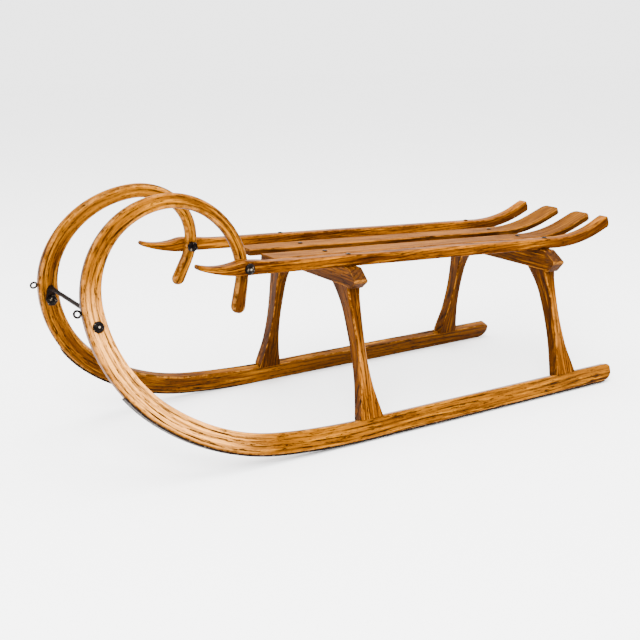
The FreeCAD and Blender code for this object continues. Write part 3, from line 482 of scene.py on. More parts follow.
def wood(name, light, middle, dark, line, worn, end_grain, ring_mm=5.0, line_strength=0.9, worn_edges=0.2,
         fleck=0.6, gloss=0.32, stain=0.4, tilt=0.35, shine=0.03):
    """Varnished open-grained ash, whose rings and pores run along the mesh's own grain coordinates."""
    n = Nodes(name)
    grain = n.attribute("grain", vector=True)
    arris = n.attribute("arris")
    wear_light_and_shade = n.attribute("wear_light_and_shade")
    end = n.attribute("endgrain")
    # the worn-and-shaded attribute: above zero it mixes in the worn tone (on the beam knobs partly a painted
    # highlight), below zero it is painted shade mixing in the dark tone
    painted_shade = n.math("MULTIPLY", wear_light_and_shade, -1.0, clamped=True)
    wear_and_painted_light = n.math("MULTIPLY", wear_light_and_shade, 1.0, clamped=True)
    parts = n.node("ShaderNodeSeparateXYZ")
    n.link(grain, parts.inputs[0])
    _, deep, wide = parts.outputs
    # slow drift of the rings across the piece
    slow = n.noise(n.scale(grain, (3.2, 14.0, 14.0)), detail=2.0)
    quick = n.noise(n.scale(grain, (14.0, 90.0, 90.0)), detail=3.0)
    drift = n.math("MULTIPLY_ADD", slow, 0.030, n.times(quick, 0.0030))
    across = n.plus(n.plus(deep, n.times(wide, tilt)), drift)
    ring = n.math("FRACT", n.times(across, 1000.0 / ring_mm))
    early = n.ramp(n.math("ABSOLUTE", n.math("SUBTRACT", ring, 0.5)), 0.24, 0.06)
    # open pores break the rings into dashes that run with the grain
    dashes = n.ramp(n.noise(n.scale(grain, (26.0, 300.0, 300.0)), detail=4.0, rough=0.7), 0.42, 0.54)
    patches = n.ramp(n.noise(n.scale(grain, (5.0, 40.0, 40.0), (3.1, 1.7, 0.4)), detail=3.0), 0.34, 0.58)
    dark_line = n.times(early, n.math("MULTIPLY_ADD", dashes, 0.65, 0.35))
    dark_line = n.times(dark_line, n.math("MULTIPLY_ADD", patches, 0.55, 0.45))
    pores = n.noise(n.scale(grain, (34.0, 330.0, 330.0), (0.3, 5.0, 2.0)), detail=4.0, rough=0.75)
    pores = n.ramp(pores, 0.54, 0.63)
    fine = n.ramp(n.noise(n.scale(grain, (110.0, 1500.0, 1500.0), (4.0, 1.0, 7.0)), detail=2.0), 0.50, 0.66)
    broad = n.noise(n.scale(grain, (5.0, 30.0, 30.0), (1.0, 2.0, 3.0)), detail=4.0, rough=0.6)
    streaks = n.noise(n.scale(grain, (8.0, 190.0, 190.0)), detail=4.0, rough=0.65)
    colour = n.mix(n.ramp(broad, 0.34, 0.60), dark, middle)
    colour = n.mix(n.ramp(streaks, 0.50, 0.72), colour, light)
    colour = n.mix(n.times(n.ramp(streaks, 0.50, 0.30), 0.7), colour, dark)
    colour = n.mix(n.times(wear_and_painted_light, n.ramp(streaks, 0.32, 0.60, 0.25, 1.0)), colour, worn)
    # painted shade: darker towards the dark tone where that attribute is below zero
    colour = n.mix(n.times(painted_shade, 0.85), colour, dark)
    colour = n.mix(n.times(fine, fleck * 0.4), colour, line)
    colour = n.mix(n.times(pores, fleck), colour, line)
    colour = n.mix(n.times(dark_line, line_strength), colour, line)
    spots = n.noise(n.scale(grain, (30.0, 70.0, 70.0), (7.0, 1.0, 4.0)), detail=5.0, rough=0.7)
    blotch = n.times(n.ramp(spots, 0.60, 0.72), stain)
    colour = n.mix(blotch, colour, line)
    rub_and_glint = n.noise(n.scale(grain, (60.0, 60.0, 60.0), (2.0, 8.0, 1.0)), detail=5.0, rough=0.7)
    edge = n.times(n.ramp(arris, 0.55, 1.0), n.ramp(rub_and_glint, 0.42, 0.62))
    colour = n.mix(n.times(edge, worn_edges), colour, worn)
    # end grain: open pores and a grey-brown worn face
    dots = n.ramp(n.noise(n.scale(grain, (500.0, 620.0, 620.0)), detail=3.0), 0.40, 0.64)
    colour = n.mix(end, colour, n.mix(dots, end_grain, line))
    rough = n.math("MULTIPLY_ADD", dark_line, 0.16, gloss)
    rough = n.plus(rough, n.times(n.math("MAXIMUM", edge, end), 0.22))
    rough = n.plus(rough, n.times(n.math("SUBTRACT", broad, 0.5), 0.16))
    n.fill(n.shader, {"Specular IOR Level": shine, "Specular Tint": tone(1.0, 0.60, 0.16)})
    height = n.math("MULTIPLY_ADD", dark_line, -0.8, n.times(pores, -0.5))
    height = n.plus(height, n.times(rub_and_glint, 0.5))
    height = n.plus(height, n.times(streaks, 0.5))
    n.surface(colour, rough, height, 0.35, 0.0005)
    return n.material


# colour of the painted highlight on the domed heads
PAINTED_HIGHLIGHT = tone(0.34, 0.29, 0.22)


def iron(name, base, rust, glint_colour, gloss=0.34, scale=1.0, glint_level=0.58):
    """Blackened forged iron: mottled and pitted, with painted glints in spots and a painted highlight on the
    middles of its domed heads.
    """
    n = Nodes(name)
    place = n.node("ShaderNodeTexCoord").outputs["Object"]
    mottle = n.noise(n.scale(place, (180.0 * scale,) * 3), detail=5.0, rough=0.65)
    pits = n.ramp(n.noise(n.scale(place, (620.0 * scale,) * 3, (3.0, 1.0, 2.0)), detail=3.0), 0.36, 0.60)
    colour = n.mix(n.ramp(mottle, 0.42, 0.70), base, rust)
    # painted glints: noise spots in the glint colour
    rub_and_glint = n.noise(n.scale(place, (250.0 * scale,) * 3, (9.0, 4.0, 1.0)), detail=3.0)
    rub_and_glint = n.ramp(rub_and_glint, glint_level, glint_level + 0.1)
    # painted highlight on the middles of domed heads, marked by the arris attribute
    crown = n.times(n.attribute("arris"), n.ramp(mottle, 0.34, 0.52))
    colour = n.mix(rub_and_glint, colour, glint_colour)
    colour = n.mix(crown, colour, PAINTED_HIGHLIGHT)
    n.fill(n.shader, {"Metallic": 0.1, "Specular IOR Level": 0.03})
    rough = n.math("MULTIPLY_ADD", mottle, 0.22, gloss - 0.10)
    n.surface(colour, rough, n.math("MULTIPLY_ADD", mottle, 0.6, pits), 0.3, 0.0004)
    return n.material


RUNNER_WOOD = wood(
    "runner_ash",
    light=tone(0.38, 0.134, 0.0008), middle=tone(0.175, 0.055, 0.0004), dark=tone(0.046, 0.0115, 0.0004),
    line=tone(0.0040, 0.0010, 0.0004), worn=tone(0.80, 0.33, 0.062), end_grain=tone(0.060, 0.022, 0.006),
    ring_mm=10.0, line_strength=1.0, fleck=0.95, stain=0.9, shine=0.03)
LEG_WOOD = wood(
    "leg_ash",
    light=tone(0.25, 0.078, 0.0010), middle=tone(0.105, 0.0300, 0.0005), dark=tone(0.028, 0.0068, 0.0005),
    line=tone(0.0050, 0.0013, 0.0005), worn=tone(0.42, 0.150, 0.016), end_grain=tone(0.040, 0.0150, 0.0050),
    ring_mm=6.0, line_strength=1.0, fleck=0.85, worn_edges=0.5, shine=0.015)
DECK_WOOD = wood(
    "deck_ash",
    light=tone(0.24, 0.086, 0.0060), middle=tone(0.085, 0.0280, 0.0022), dark=tone(0.024, 0.0062, 0.0005),
    line=tone(0.0065, 0.0016, 0.0005), worn=tone(0.30, 0.102, 0.012), end_grain=tone(0.045, 0.016, 0.005),
    ring_mm=7.0, gloss=0.42, worn_edges=0.4, shine=0.005)
RAIL_WOOD = wood(
    "rail_ash",
    light=tone(0.34, 0.112, 0.0008), middle=tone(0.145, 0.0420, 0.0004), dark=tone(0.034, 0.0080, 0.0005),
    line=tone(0.0065, 0.0016, 0.0005), worn=tone(0.33, 0.108, 0.010), end_grain=tone(0.045, 0.016, 0.004),
    ring_mm=5.0, fleck=0.8, worn_edges=0.3, shine=0.006)
# the third colour of each iron is its painted glint colour
IRON = iron(
    "black_iron", tone(0.0007, 0.0005, 0.0004), tone(0.0040, 0.0018, 0.0008), tone(0.085, 0.066, 0.046),
    gloss=0.24)
ROD_IRON = iron(
    "rod_iron", tone(0.0020, 0.0011, 0.0007), tone(0.0085, 0.0036, 0.0016), tone(0.02, 0.014, 0.009),
    gloss=0.6, glint_level=0.68)
SHOE_STEEL = iron(
    "shoe_steel", tone(0.0035, 0.0022, 0.0015), tone(0.014, 0.0055, 0.0022), tone(0.05, 0.038, 0.028),
    gloss=0.42, scale=0.6)


# ---- runners and shoes

def make_runner(side, side_name):
    stations = [0.0, 0.15, 0.5, 1.0, 1.8, 3.0, 4.5, 6.5, 9.0, 12.0, 15.0, 20.0]
    first = stations[-1]
    knob = HORN_KNOB_DEPTH / 2
    last = SOLE_LENGTH - knob
    steps = int((last - first) / 7.0)
    stations += [first + (last - first) * step / steps for step in range(1, steps + 1)]
    turns = (12, 24, 36, 47, 57, 66, 74, 81, 86)
    stations += [SOLE_LENGTH - knob * math.cos(math.radians(turn)) for turn in turns]
    offset = 0.37 if side == LEFT else 1.91
    rows = []
    for d in stations:
        depth = blend(d, DEPTHS)
        width = blend(d, WIDTHS)
        radius = blend(d, ROUNDINGS)
        low, high = 0.0, depth
        half_out = width / 2
        if d > last:
            share = math.sqrt(max(0.0004, 1 - ((d - last) / knob) ** 2))
            low, high = depth * (1 - share) / 2, depth * (1 + share) / 2
            half_out *= share
            radius = min(half_out, (high - low) / 2) * 0.9
        elif d > last - 30:
            radius += (min(width, depth) * 0.45 - radius) * smooth((d - last + 30) / 30)
        low += corner_cut(REAR_SOLE_RADIUS, d)
        high -= corner_cut(REAR_TOP_RADIUS, d)
        half_out -= corner_cut(REAR_EDGE_RADIUS, d)
        middle = (low + high) / 2
        half_in = (high - low) / 2
        ring = outline(half_out, half_in, (radius,) * 4)
        row = []
        for out, b, arris in ring:
            x, w, heading = sole_at(d, middle + b)
            spot = runner_point(side, x, out, w)
            lift = wobble(spot, 0.35, side) * (1 if b > 0 else -0.6) * clamp(abs(b) / half_in)
            x2, w2, _ = sole_at(d, middle + b + lift)
            spot = runner_point(side, x2, out + wobble(spot, 0.25, side + 5) * clamp(abs(out) / half_out), w2)
            turned = math.degrees(heading)
            # worn lighter where the front sweeps up; painted shade where the horn turns over and on the inner
            # face; darker towards the horn's end
            wear_light_and_shade = smooth((turned - 6.0) / 26.0) * smooth((112.0 - turned) / 36.0)
            wear_light_and_shade *= smooth(clamp(out / half_out) * 2.4 - 1.2) * smooth((b / half_in + 0.95) / 0.45)
            wear_light_and_shade *= 1 - 0.6 * smooth((turned - 66.0) / 40.0) * smooth(2 * b / half_in)
            wear_light_and_shade -= 0.3 * smooth((turned - 205.0) / 40.0) + 0.5 * smooth((d - SOLE_LENGTH + 26.0) / 20.0)
            # painted shade on the inner face, deeper towards the rear
            if out < 0:
                inner_shade = 0.45 + 0.5 * smooth((140.0 - x) / 260.0)
                wear_light_and_shade = -inner_shade * smooth(-2.0 * out / half_out) * smooth((170.0 - turned) / 60.0)
            deep = (middle - depth / 2 + b) * MM
            grain = (d * MM + offset, deep + offset * 0.1, out * MM * side + offset * 0.2)
            end = 0.7 * smooth((3.0 - d) / 3.0)
            row.append((spot, grain, arris, wear_light_and_shade, end))
        rows.append(row)
    wooden("runner_" + side_name, rows, RUNNER_WOOD, side == LEFT)


def make_shoe(side, side_name):
    rows = []
    length = SHOE_END - SHOE_START
    steps = int(length / 9.0)
    ends = (0.01, 0.5, 1.4)
    spots = [SHOE_START + step for step in ends]
    spots += [SHOE_START + 3.0 + (length - 6.0) * k / steps for k in range(steps + 1)]
    spots += [SHOE_END - step for step in ends[::-1]]
    proud = SHOE_SEAT - SHOE_THICKNESS
    for d in spots:
        shrink = max(0.0, 0.5 - min(d - SHOE_START, SHOE_END - d)) * 0.8
        ring = outline(SHOE_WIDTH / 2 - shrink, SHOE_THICKNESS / 2 - shrink, (0.7,) * 4, steps=3)
        row = []
        for a, b, _ in ring:
            x, w, _ = sole_at(d, (SHOE_SEAT + proud) / 2 + b)
            spot = runner_point(side, x, a, w)
            spot.z = max(spot.z, 0.0)
            row.append((spot, (d * MM, b * MM, a * MM)))
        rows.append(row)
    points, faces = skin(rows)
    if side == LEFT:
        faces = turned_over(faces)
    data = {"grain": [p[1] for p in points]}
    make_object("runner_shoe_" + side_name, [p[0] for p in points], faces, SHOE_STEEL, data)


# ---- legs and beams

def leg_out(w, foot):
    """Leg's outer face from the runner's centre plane, at height w in that plane."""
    return LEG_FOOT_OUT + (w - foot) * math.tan(LEG_SPLAY)


def leg_head(beam_x, beam_depth, foot):
    """Where the leg's outer face meets the beam's underside: (distance from the middle, height w)."""
    under = DECK_HEIGHT + beam_x * math.tan(PITCH) - beam_depth
    w = under
    for _ in range(5):
        out = leg_out(w, foot)
        w = (under - RUNNER_FLOOR_Z - out * SIN_CANT) / COS_CANT
    return RUNNER_FLOOR_Y + out * COS_CANT - w * SIN_CANT, w


def circle_through(p1, p2, p3):
    """First coordinate against second, on the circle through three points."""
    ax, ay = p1
    bx, by = p2
    cx, cy = p3
    d = 2 * (ax * (by - cy) + bx * (cy - ay) + cx * (ay - by))
    a2, b2, c2 = ax * ax + ay * ay, bx * bx + by * by, cx * cx + cy * cy
    ux = (a2 * (by - cy) + b2 * (cy - ay) + c2 * (ay - by)) / d
    uy = (a2 * (cx - bx) + b2 * (ax - cx) + c2 * (bx - ax)) / d
    radius = math.hypot(ax - ux, ay - uy)
    sign = 1 if bx > ux else -1

    def at(height):
        return ux + sign * math.sqrt(max(0.0, radius ** 2 - (height - uy) ** 2))
    return at


def make_leg(side, side_name, name, beam_x, beam_depth, foot_step):
    foot_x = beam_x + foot_step
    foot = leg_seat(foot_x)
    crown = leg_head(beam_x, beam_depth, foot)[1] - foot
    waist = LEG_WAIST_HEIGHT
    half_waist = LEG_WAIST_LENGTH / 2
    lower = circle_through((LEG_FOOT_LENGTH / 2, LEG_FOOT_UPRIGHT), (LEG_KNEE_LENGTH / 2, KNEE_SHARE * waist),
                           (half_waist, waist))
    upper = circle_through((half_waist, waist), (LEG_NECK_LENGTH / 2, (waist + crown) / 2),
                           (BEAM_THICKNESS / 2, crown))
    haunch = circle_through((LEG_NECK_THICKNESS, crown - HAUNCH_LENGTH),
                            (HAUNCH_MIDDLE_THICKNESS, crown - HAUNCH_MIDDLE), (HAUNCH_THICKNESS, crown))

    def half_length(height):
        if height < LEG_FOOT_UPRIGHT:
            return LEG_FOOT_LENGTH / 2
        return lower(height) if height < waist else upper(min(height, crown))

    def thickness(height):
        neck = crown - HAUNCH_LENGTH
        if height < neck:
            return LEG_FOOT_THICKNESS + (LEG_NECK_THICKNESS - LEG_FOOT_THICKNESS) * height / neck
        return haunch(min(height, crown))

    def top_w(x, out):
        """Height up the plane where a point meets the beam's underside."""
        under = DECK_HEIGHT + x * math.tan(PITCH) - beam_depth / math.cos(PITCH)
        return (under - RUNNER_FLOOR_Z - out * SIN_CANT) / COS_CANT

    rows = []
    count = 60
    offset = {"front": 0.6, "rear": 1.3}[name] + (0.0 if side == LEFT else 2.2)
    for step in range(count + 1):
        share = step / count
        height = crown * share
        centre = foot_x + (beam_x - foot_x) * share
        half_x = half_length(height)
        outside = leg_out(foot + height, foot)
        half_out = thickness(height) / 2
        # the outer arrises are chamfered between foot and head, the inner ones rounded
        cut = LEG_CHAMFER * smooth((height - 12.0) / 50.0) * smooth((crown - height + 6.0) / 30.0) + 0.8
        soft = 1.0 + 1.5 * smooth((height - 20.0) / 60.0)
        ring = outline(half_out, half_x, (cut, cut, soft, soft), chamfer=(0.85, 0.85, 0, 0))
        row = []
        for a, b, arris in ring:
            out = outside - half_out + a
            x = centre + b
            w = foot + (top_w(x, out) - foot) * share
            spot = runner_point(side, x, out, w)
            grain = (w * MM + offset, b * MM + offset * 0.1, out * MM * side + offset * 0.3)
            # worn on the outside of the waist; painted shade inside, in front and under the beam
            wear_light_and_shade = 0.35 * smooth((height - 35.0) / 60.0) * smooth((175.0 - height) / 60.0)
            wear_light_and_shade *= clamp(a / half_out)
            wear_light_and_shade -= 0.7 * clamp(-2.0 * a / half_out) + 0.25 * smooth(5.0 * b / half_x - 3.8)
            wear_light_and_shade -= 0.5 * smooth((height - crown + 40.0) / 40.0)
            row.append((spot, grain, arris, wear_light_and_shade, 0.0))
        rows.append(row)
    wooden("leg_%s_%s" % (name, side_name), rows, LEG_WOOD, side == RIGHT)


def make_beam(name, beam_x, depth, foot_step):
    flat = leg_head(beam_x, depth, leg_seat(beam_x + foot_step))[0] + 0.8
    reach = flat + KNOB_REACH
    low = flat + KNOB_LIP
    lip = depth + 3.0
    top_line = [(0.0, 0.0), (KNOB_TOP, 0.0), (KNOB_TOP + 3.0, -0.8),
                (reach - 2.0, -KNOB_TIP_DROP + 3.0), (reach, -KNOB_TIP_DROP)]
    low_line = [(0.0, -depth), (flat, -depth), (low, -lip), (low + 4.0, -lip + 1.5),
                (reach - 2.0, -KNOB_TIP_DROP - 4.0), (reach, -KNOB_TIP_DROP)]

    def at(line, y):
        if y >= reach - 1:
            return blend(y, line)
        return (blend(y - 0.9, line) + blend(y, line) * 2 + blend(y + 0.9, line)) / 4

    marks = set()
    for edge in (KNOB_TOP, KNOB_TOP + 3.0, flat, low, low + 4.0, reach - 2.0):
        for step in (-2.0, -1.2, -0.6, 0.0, 0.6, 1.2, 2.0):
            marks.add(round(edge + step, 3))
    y = 0.0
    while y < reach:
        marks.add(round(y, 3))
        y += 7.0
    marks = sorted(m for m in marks if m < reach - 0.4) + [reach - 0.25]
    spots = [-m for m in marks[::-1] if m > 0] + marks
    offset = 3.1 if name == "front" else 4.7
    rows = []
    for y in spots:
        far = abs(y)
        high = at(top_line, far)
        bottom = at(low_line, far)
        half_z = max(0.3, (high - bottom) / 2)
        half_x = BEAM_THICKNESS / 2
        ring = outline(half_x, half_z, (1.6,) * 4)
        row = []
        for a, b, arris in ring:
            z = (high + bottom) / 2 + b
            spot = deck_point(beam_x + a, y, z)
            facet = smooth((far - low - 1.0) / 4.0) * clamp(-b / half_z * 2)
            facet += smooth((far - KNOB_TOP - 3.0) / 5.0) * clamp(b / half_z * 2)
            ridge = smooth((far - reach + 3.5) / 2.5)
            rim = max(arris, ridge)
            grain = (y * MM + offset, z * MM + offset * 0.2, a * MM + offset * 0.1)
            # worn lighter on the knob's ridge and arrises, partly a painted highlight; painted shade over the
            # rest, deepest on the knob's facets
            rub_and_glint = 0.9 * ridge + 0.6 * smooth((arris - 0.5) * 2) * smooth((far - flat) / 6.0)
            rub_and_glint = clamp(rub_and_glint - 0.5 * (1 - ridge) * clamp(facet + 0.4), -1.0)
            row.append((spot, grain, rim, rub_and_glint, 0.6 * clamp(facet)))
        rows.append(row)
    wooden("cross_beam_" + name, rows, LEG_WOOD)


# ---- slats and rails

def rise(start_x, top, radius, sweep, x):
    """(height, slope) of a line that runs back level, bends up and goes on straight."""
    back = start_x - x
    turn = math.radians(sweep)
    if back <= 0:
        return top, 0.0
    if back <= radius * math.sin(turn):
        angle = math.asin(back / radius)
        return top + radius * (1 - math.cos(angle)), angle
    bend = radius * math.sin(turn)
    return top + radius * (1 - math.cos(turn)) + (back - bend) * math.tan(turn), turn


def make_slat(side, side_name):
    rear = SLAT_REAR_X + SLAT_THICKNESS * math.sin(math.radians(SLAT_BEND_SWEEP))
    spots = [SLAT_FRONT_X - step for step in (0.0, 0.3, 0.9, 2.0)]
    count = 80
    first = SLAT_FRONT_X - 6.0
    last = rear + SLAT_CORNER
    spots += [first + (last - first) * k / count for k in range(count + 1)]
    turns = (12, 24, 36, 48, 60, 70, 78, 84, 88)
    spots += [rear + SLAT_CORNER * (1 - math.sin(math.radians(turn))) for turn in turns]
    offset = 5.3 if side == LEFT else 6.9
    rows = []
    for x in spots:
        high, angle = rise(SLAT_BEND_X, SLAT_THICKNESS, SLAT_BEND_RADIUS, SLAT_BEND_SWEEP, x)
        soft = corner_cut(1.0, min(SLAT_FRONT_X - x, x - rear))
        half_y = SLAT_WIDTH / 2 - corner_cut(SLAT_CORNER, x - rear) - soft
        half_z = SLAT_THICKNESS / 2 - soft
        ring = outline(half_y, half_z, (2.2, 2.8, 2.8, 2.2))
        row = []
        for a, b, arris in ring:
            centre = high - SLAT_THICKNESS / 2 * math.cos(angle)
            spot_x = x - (SLAT_THICKNESS / 2 - b) * math.sin(angle)
            spot = deck_point(spot_x, side * SLAT_MIDDLE_Y + a, centre + b * math.cos(angle))
            # worn on top; painted shade on the edges and below
            wear_and_painted_light = smooth((b / half_z - 0.2) * 2) * (0.45 - 0.2 * smooth((-x - 380) / 120.0))
            wear_and_painted_light -= 0.8 * smooth(1.6 - 2 * b / half_z)
            grain = (x * MM + offset, a * MM + offset * 0.1, b * MM + offset * 0.2)
            end = 0.6 * smooth(x - SLAT_FRONT_X + 1.0)
            row.append((spot, grain, arris, wear_and_painted_light, end))
        rows.append(row)
    wooden("seat_slat_" + side_name, rows, DECK_WOOD, True)


# carved front ends of the rails, as (x, height over the beams) in the deck
NOSE_X = 376.0
NOSE_ROUND = 4.0
NOSE_TOP = (372.0, 23.0)
NOSE_LOW = (375.5, 15.5)
DIP = (336.0, 18.2)
HUMP = (289.0, 25.0)
HUMP_FRONT = (300.5, 23.9)
HUMP_REAR = (277.5, 23.9)
HUMP_START = 222.0
CHIN_START = (270.0, 0.0)
CHIN = (332.0, 3.8)


def swap(point):
    return point[1], point[0]


FRONT_TOP = circle_through(swap(NOSE_TOP), swap(DIP), swap(HUMP_FRONT))
CROWN_TOP = circle_through(swap(HUMP_FRONT), swap(HUMP), swap(HUMP_REAR))
CHIN_LOW = circle_through(swap(CHIN_START), swap(CHIN), swap(NOSE_LOW))


def rail_top(x):
    if x >= HUMP_FRONT[0]:
        return FRONT_TOP(min(x, NOSE_TOP[0]))
    if x >= HUMP_REAR[0]:
        return CROWN_TOP(x)
    if x >= HUMP_START:
        share = smooth((x - HUMP_START) / (HUMP_REAR[0] - HUMP_START))
        return RAIL_DEPTH + (HUMP_REAR[1] - RAIL_DEPTH) * share
    return rise(RAIL_BEND_X, RAIL_DEPTH, RAIL_BEND_RADIUS, RAIL_BEND_SWEEP, x)[0]


def rail_low(x):
    if x >= CHIN_START[0]:
        return CHIN_LOW(min(x, NOSE_LOW[0]))
    return rise(RAIL_BEND_X, 0.0, RAIL_BEND_RADIUS + RAIL_DEPTH, RAIL_BEND_SWEEP, x)[0]


def make_rail(side, side_name):
    nose, tail = NOSE_X, RAIL_REAR_X
    rounds = [NOSE_ROUND * (1 - math.sin(math.radians(turn))) for turn in (89, 80, 68, 54, 38, 20)]
    spots = [nose - step for step in rounds]
    count = 130
    first, last = nose - NOSE_ROUND, tail + NOSE_ROUND
    spots += [first + (last - first) * k / count for k in range(count + 1)]
    spots += [tail + step for step in rounds[::-1]]
    offset = 8.3 if side == LEFT else 9.7
    middle = RAIL_INNER_Y + RAIL_WIDTH / 2
    rows = []
    for x in spots:
        high, low = rail_top(x), rail_low(x)
        half_z = (high - low) / 2
        half_y = RAIL_WIDTH / 2 - 2.5 * smooth((x - 300.0) / 76.0)
        end = min(nose - x, x - tail)
        if end < NOSE_ROUND:
            share = math.sqrt(max(0.0004, 1 - (1 - end / NOSE_ROUND) ** 2))
            half_z *= share
            half_y -= NOSE_ROUND * (1 - share)
        radius = min(4.2, half_z * 0.85)
        ring = outline(half_y, half_z, (radius * 0.8, radius, radius, radius * 0.8))
        row = []
        for a, b, arris in ring:
            z = (high + low) / 2 + b
            # the rear end is cut nearly square to the raised part
            slant = 5.0 * clamp((b + half_z) / (2 * half_z)) * smooth((-x - 500.0) / 66.0)
            spot = deck_point(x + slant, side * middle + a, z)
            spot.z += wobble(spot, 0.3, side + 9)
            # worn on top and at the tail; painted shade on the flanks behind and below
            flank = smooth(abs(a) / half_y * 4 - 3)
            wear_and_painted_light = (0.45 * smooth((-x - 500.0) / 60.0) + 0.2 * smooth(b / half_z * 1.5 - 0.4)) * (1 - flank)
            wear_and_painted_light -= 0.85 * flank * smooth((-x - 330.0) / 110.0)
            wear_and_painted_light -= 0.8 * smooth(-2.2 * b / half_z - 0.6)
            grain = (x * MM + offset, (b + 0.05 * x) * MM + offset * 0.1, a * MM * side + offset * 0.2)
            row.append((spot, grain, arris, clamp(wear_and_painted_light, -1.0), 0.6 * smooth(1 - end / NOSE_ROUND)))
        rows.append(row)
    wooden("side_rail_" + side_name, rows, RAIL_WOOD, True)


# ---- iron fittings

def lathe(profile, steps=40):
    """Points and faces of a turned shape about local Z from (radius, height) points."""
    points = []
    for radius, height in profile:
        points += [Vector((radius * c, radius * s, height)) for c, s in circle(steps)]
    points += [Vector((0, 0, profile[0][1])), Vector((0, 0, profile[-1][1]))]
    return points, capped(len(profile), steps)


def place(points, matrix):
    return [matrix @ p for p in points]


def facing(origin, direction, spin=0.0):
    """Matrix whose local Z points along a direction, in millimetres."""
    turn = Vector(direction).normalized().to_track_quat("Z", "Y").to_matrix().to_4x4()
    return Matrix.Translation(origin) @ turn @ Matrix.Rotation(spin, 4, "Z")


def dome(head, height, shank, length):
    """(radius, height) points of a round-headed bolt or screw whose head sits on zero."""
    profile = [(shank * 0.7, -length), (shank, -length + 0.6), (shank, -0.01)]
    profile += [(head - 0.25, 0.0), (head, 0.25), (head, HEAD_RIM)]
    rise_of_ball = height - HEAD_RIM
    ball = (head ** 2 + rise_of_ball ** 2) / (2 * rise_of_ball)
    start = math.asin(head / ball)
    for k in range(1, 12):
        t = start * (1 - k / 11.3)
        profile.append((ball * math.sin(t), height - ball * (1 - math.cos(t))))
    return profile


def hexagon(across, height, bore):
    """A worn hexagon nut with turned-down corners, closed round its bore."""
    points = []
    flat = across / 2
    levels = ((0.0, 0.93), (0.7, 1.0), (height - 1.3, 1.0), (height - 0.5, 0.95), (height, 0.86))
    steps = 48
    for z, grow in levels:
        for k in range(steps):
            t = 2 * math.pi * k / steps
            sector = (t + math.pi / 6) % (math.pi / 3) - math.pi / 6
            radius = flat / math.cos(sector)
            radius = min(radius, flat * NUT_CORNER) * grow
            points.append(Vector((radius * math.cos(t), radius * math.sin(t), z)))
    rings = len(levels)
    faces = stacked(rings, steps)
    for z in (height, 0.0):
        points += [Vector((bore * c, bore * s, z)) for c, s in circle(steps)]
    a, top, bottom = [ring * steps for ring in (rings - 1, rings, rings + 1)]
    for k in range(steps):
        j = (k + 1) % steps
        faces.append((a + k, a + j, top + j, top + k))
        faces.append((top + k, top + j, bottom + j, bottom + k))
        faces.append((bottom + k, bottom + j, j, k))
    return points, faces


def fitting(name, points, faces, material=None, highlight_spots=()):
    """An iron piece; the highlight spots are the middles of its domed heads, which carry a painted highlight.
    """
    glint_level = []
    # painted highlight: the arris attribute is raised near a head's middle, and the iron materials turn it
    # into the highlight colour
    for spot in points:
        near = min([(spot - middle).length for middle in highlight_spots] + [99.0])
        glint_level.append(1.0 - smooth((near - 0.6) / 1.7))
    make_object(name, points, faces, material or IRON, {"arris": glint_level}, 40.0)


def along_tube(path, radius, steps=20):
    """Points and faces of a round bar along points; radius is a number or one per point."""
    points = []
    count = len(path)
    side = None
    for i, spot in enumerate(path):
        ahead = path[min(i + 1, count - 1)] - path[max(i - 1, 0)]
        ahead.normalize()
        if side is None:
            side = ahead.orthogonal().normalized()
        side = (side - ahead * side.dot(ahead)).normalized()
        up = ahead.cross(side)
        r = radius[i] if isinstance(radius, (list, tuple)) else radius
        points += [spot + side * (r * c) + up * (r * s) for c, s in circle(steps)]
    points += [path[0].copy(), path[-1].copy()]
    return points, capped(count, steps)


def join(*shapes):
    points = []
    faces = []
    for some_points, some_faces in shapes:
        base = len(points)
        points += some_points
        faces += [tuple(base + i for i in face) for face in some_faces]
    return points, faces


SPREADER_W = (SPREADER_BOLT_Z - RUNNER_FLOOR_Z) / COS_CANT
SPREADER_FACE = blend(front_at_height(SPREADER_W - SPREADER_EYE_WIDTH * 0.8), WIDTHS) / 2 + FIT
OUTWARD = {side: Vector((0.0, side * COS_CANT, SIN_CANT)) for side, _ in SIDES}


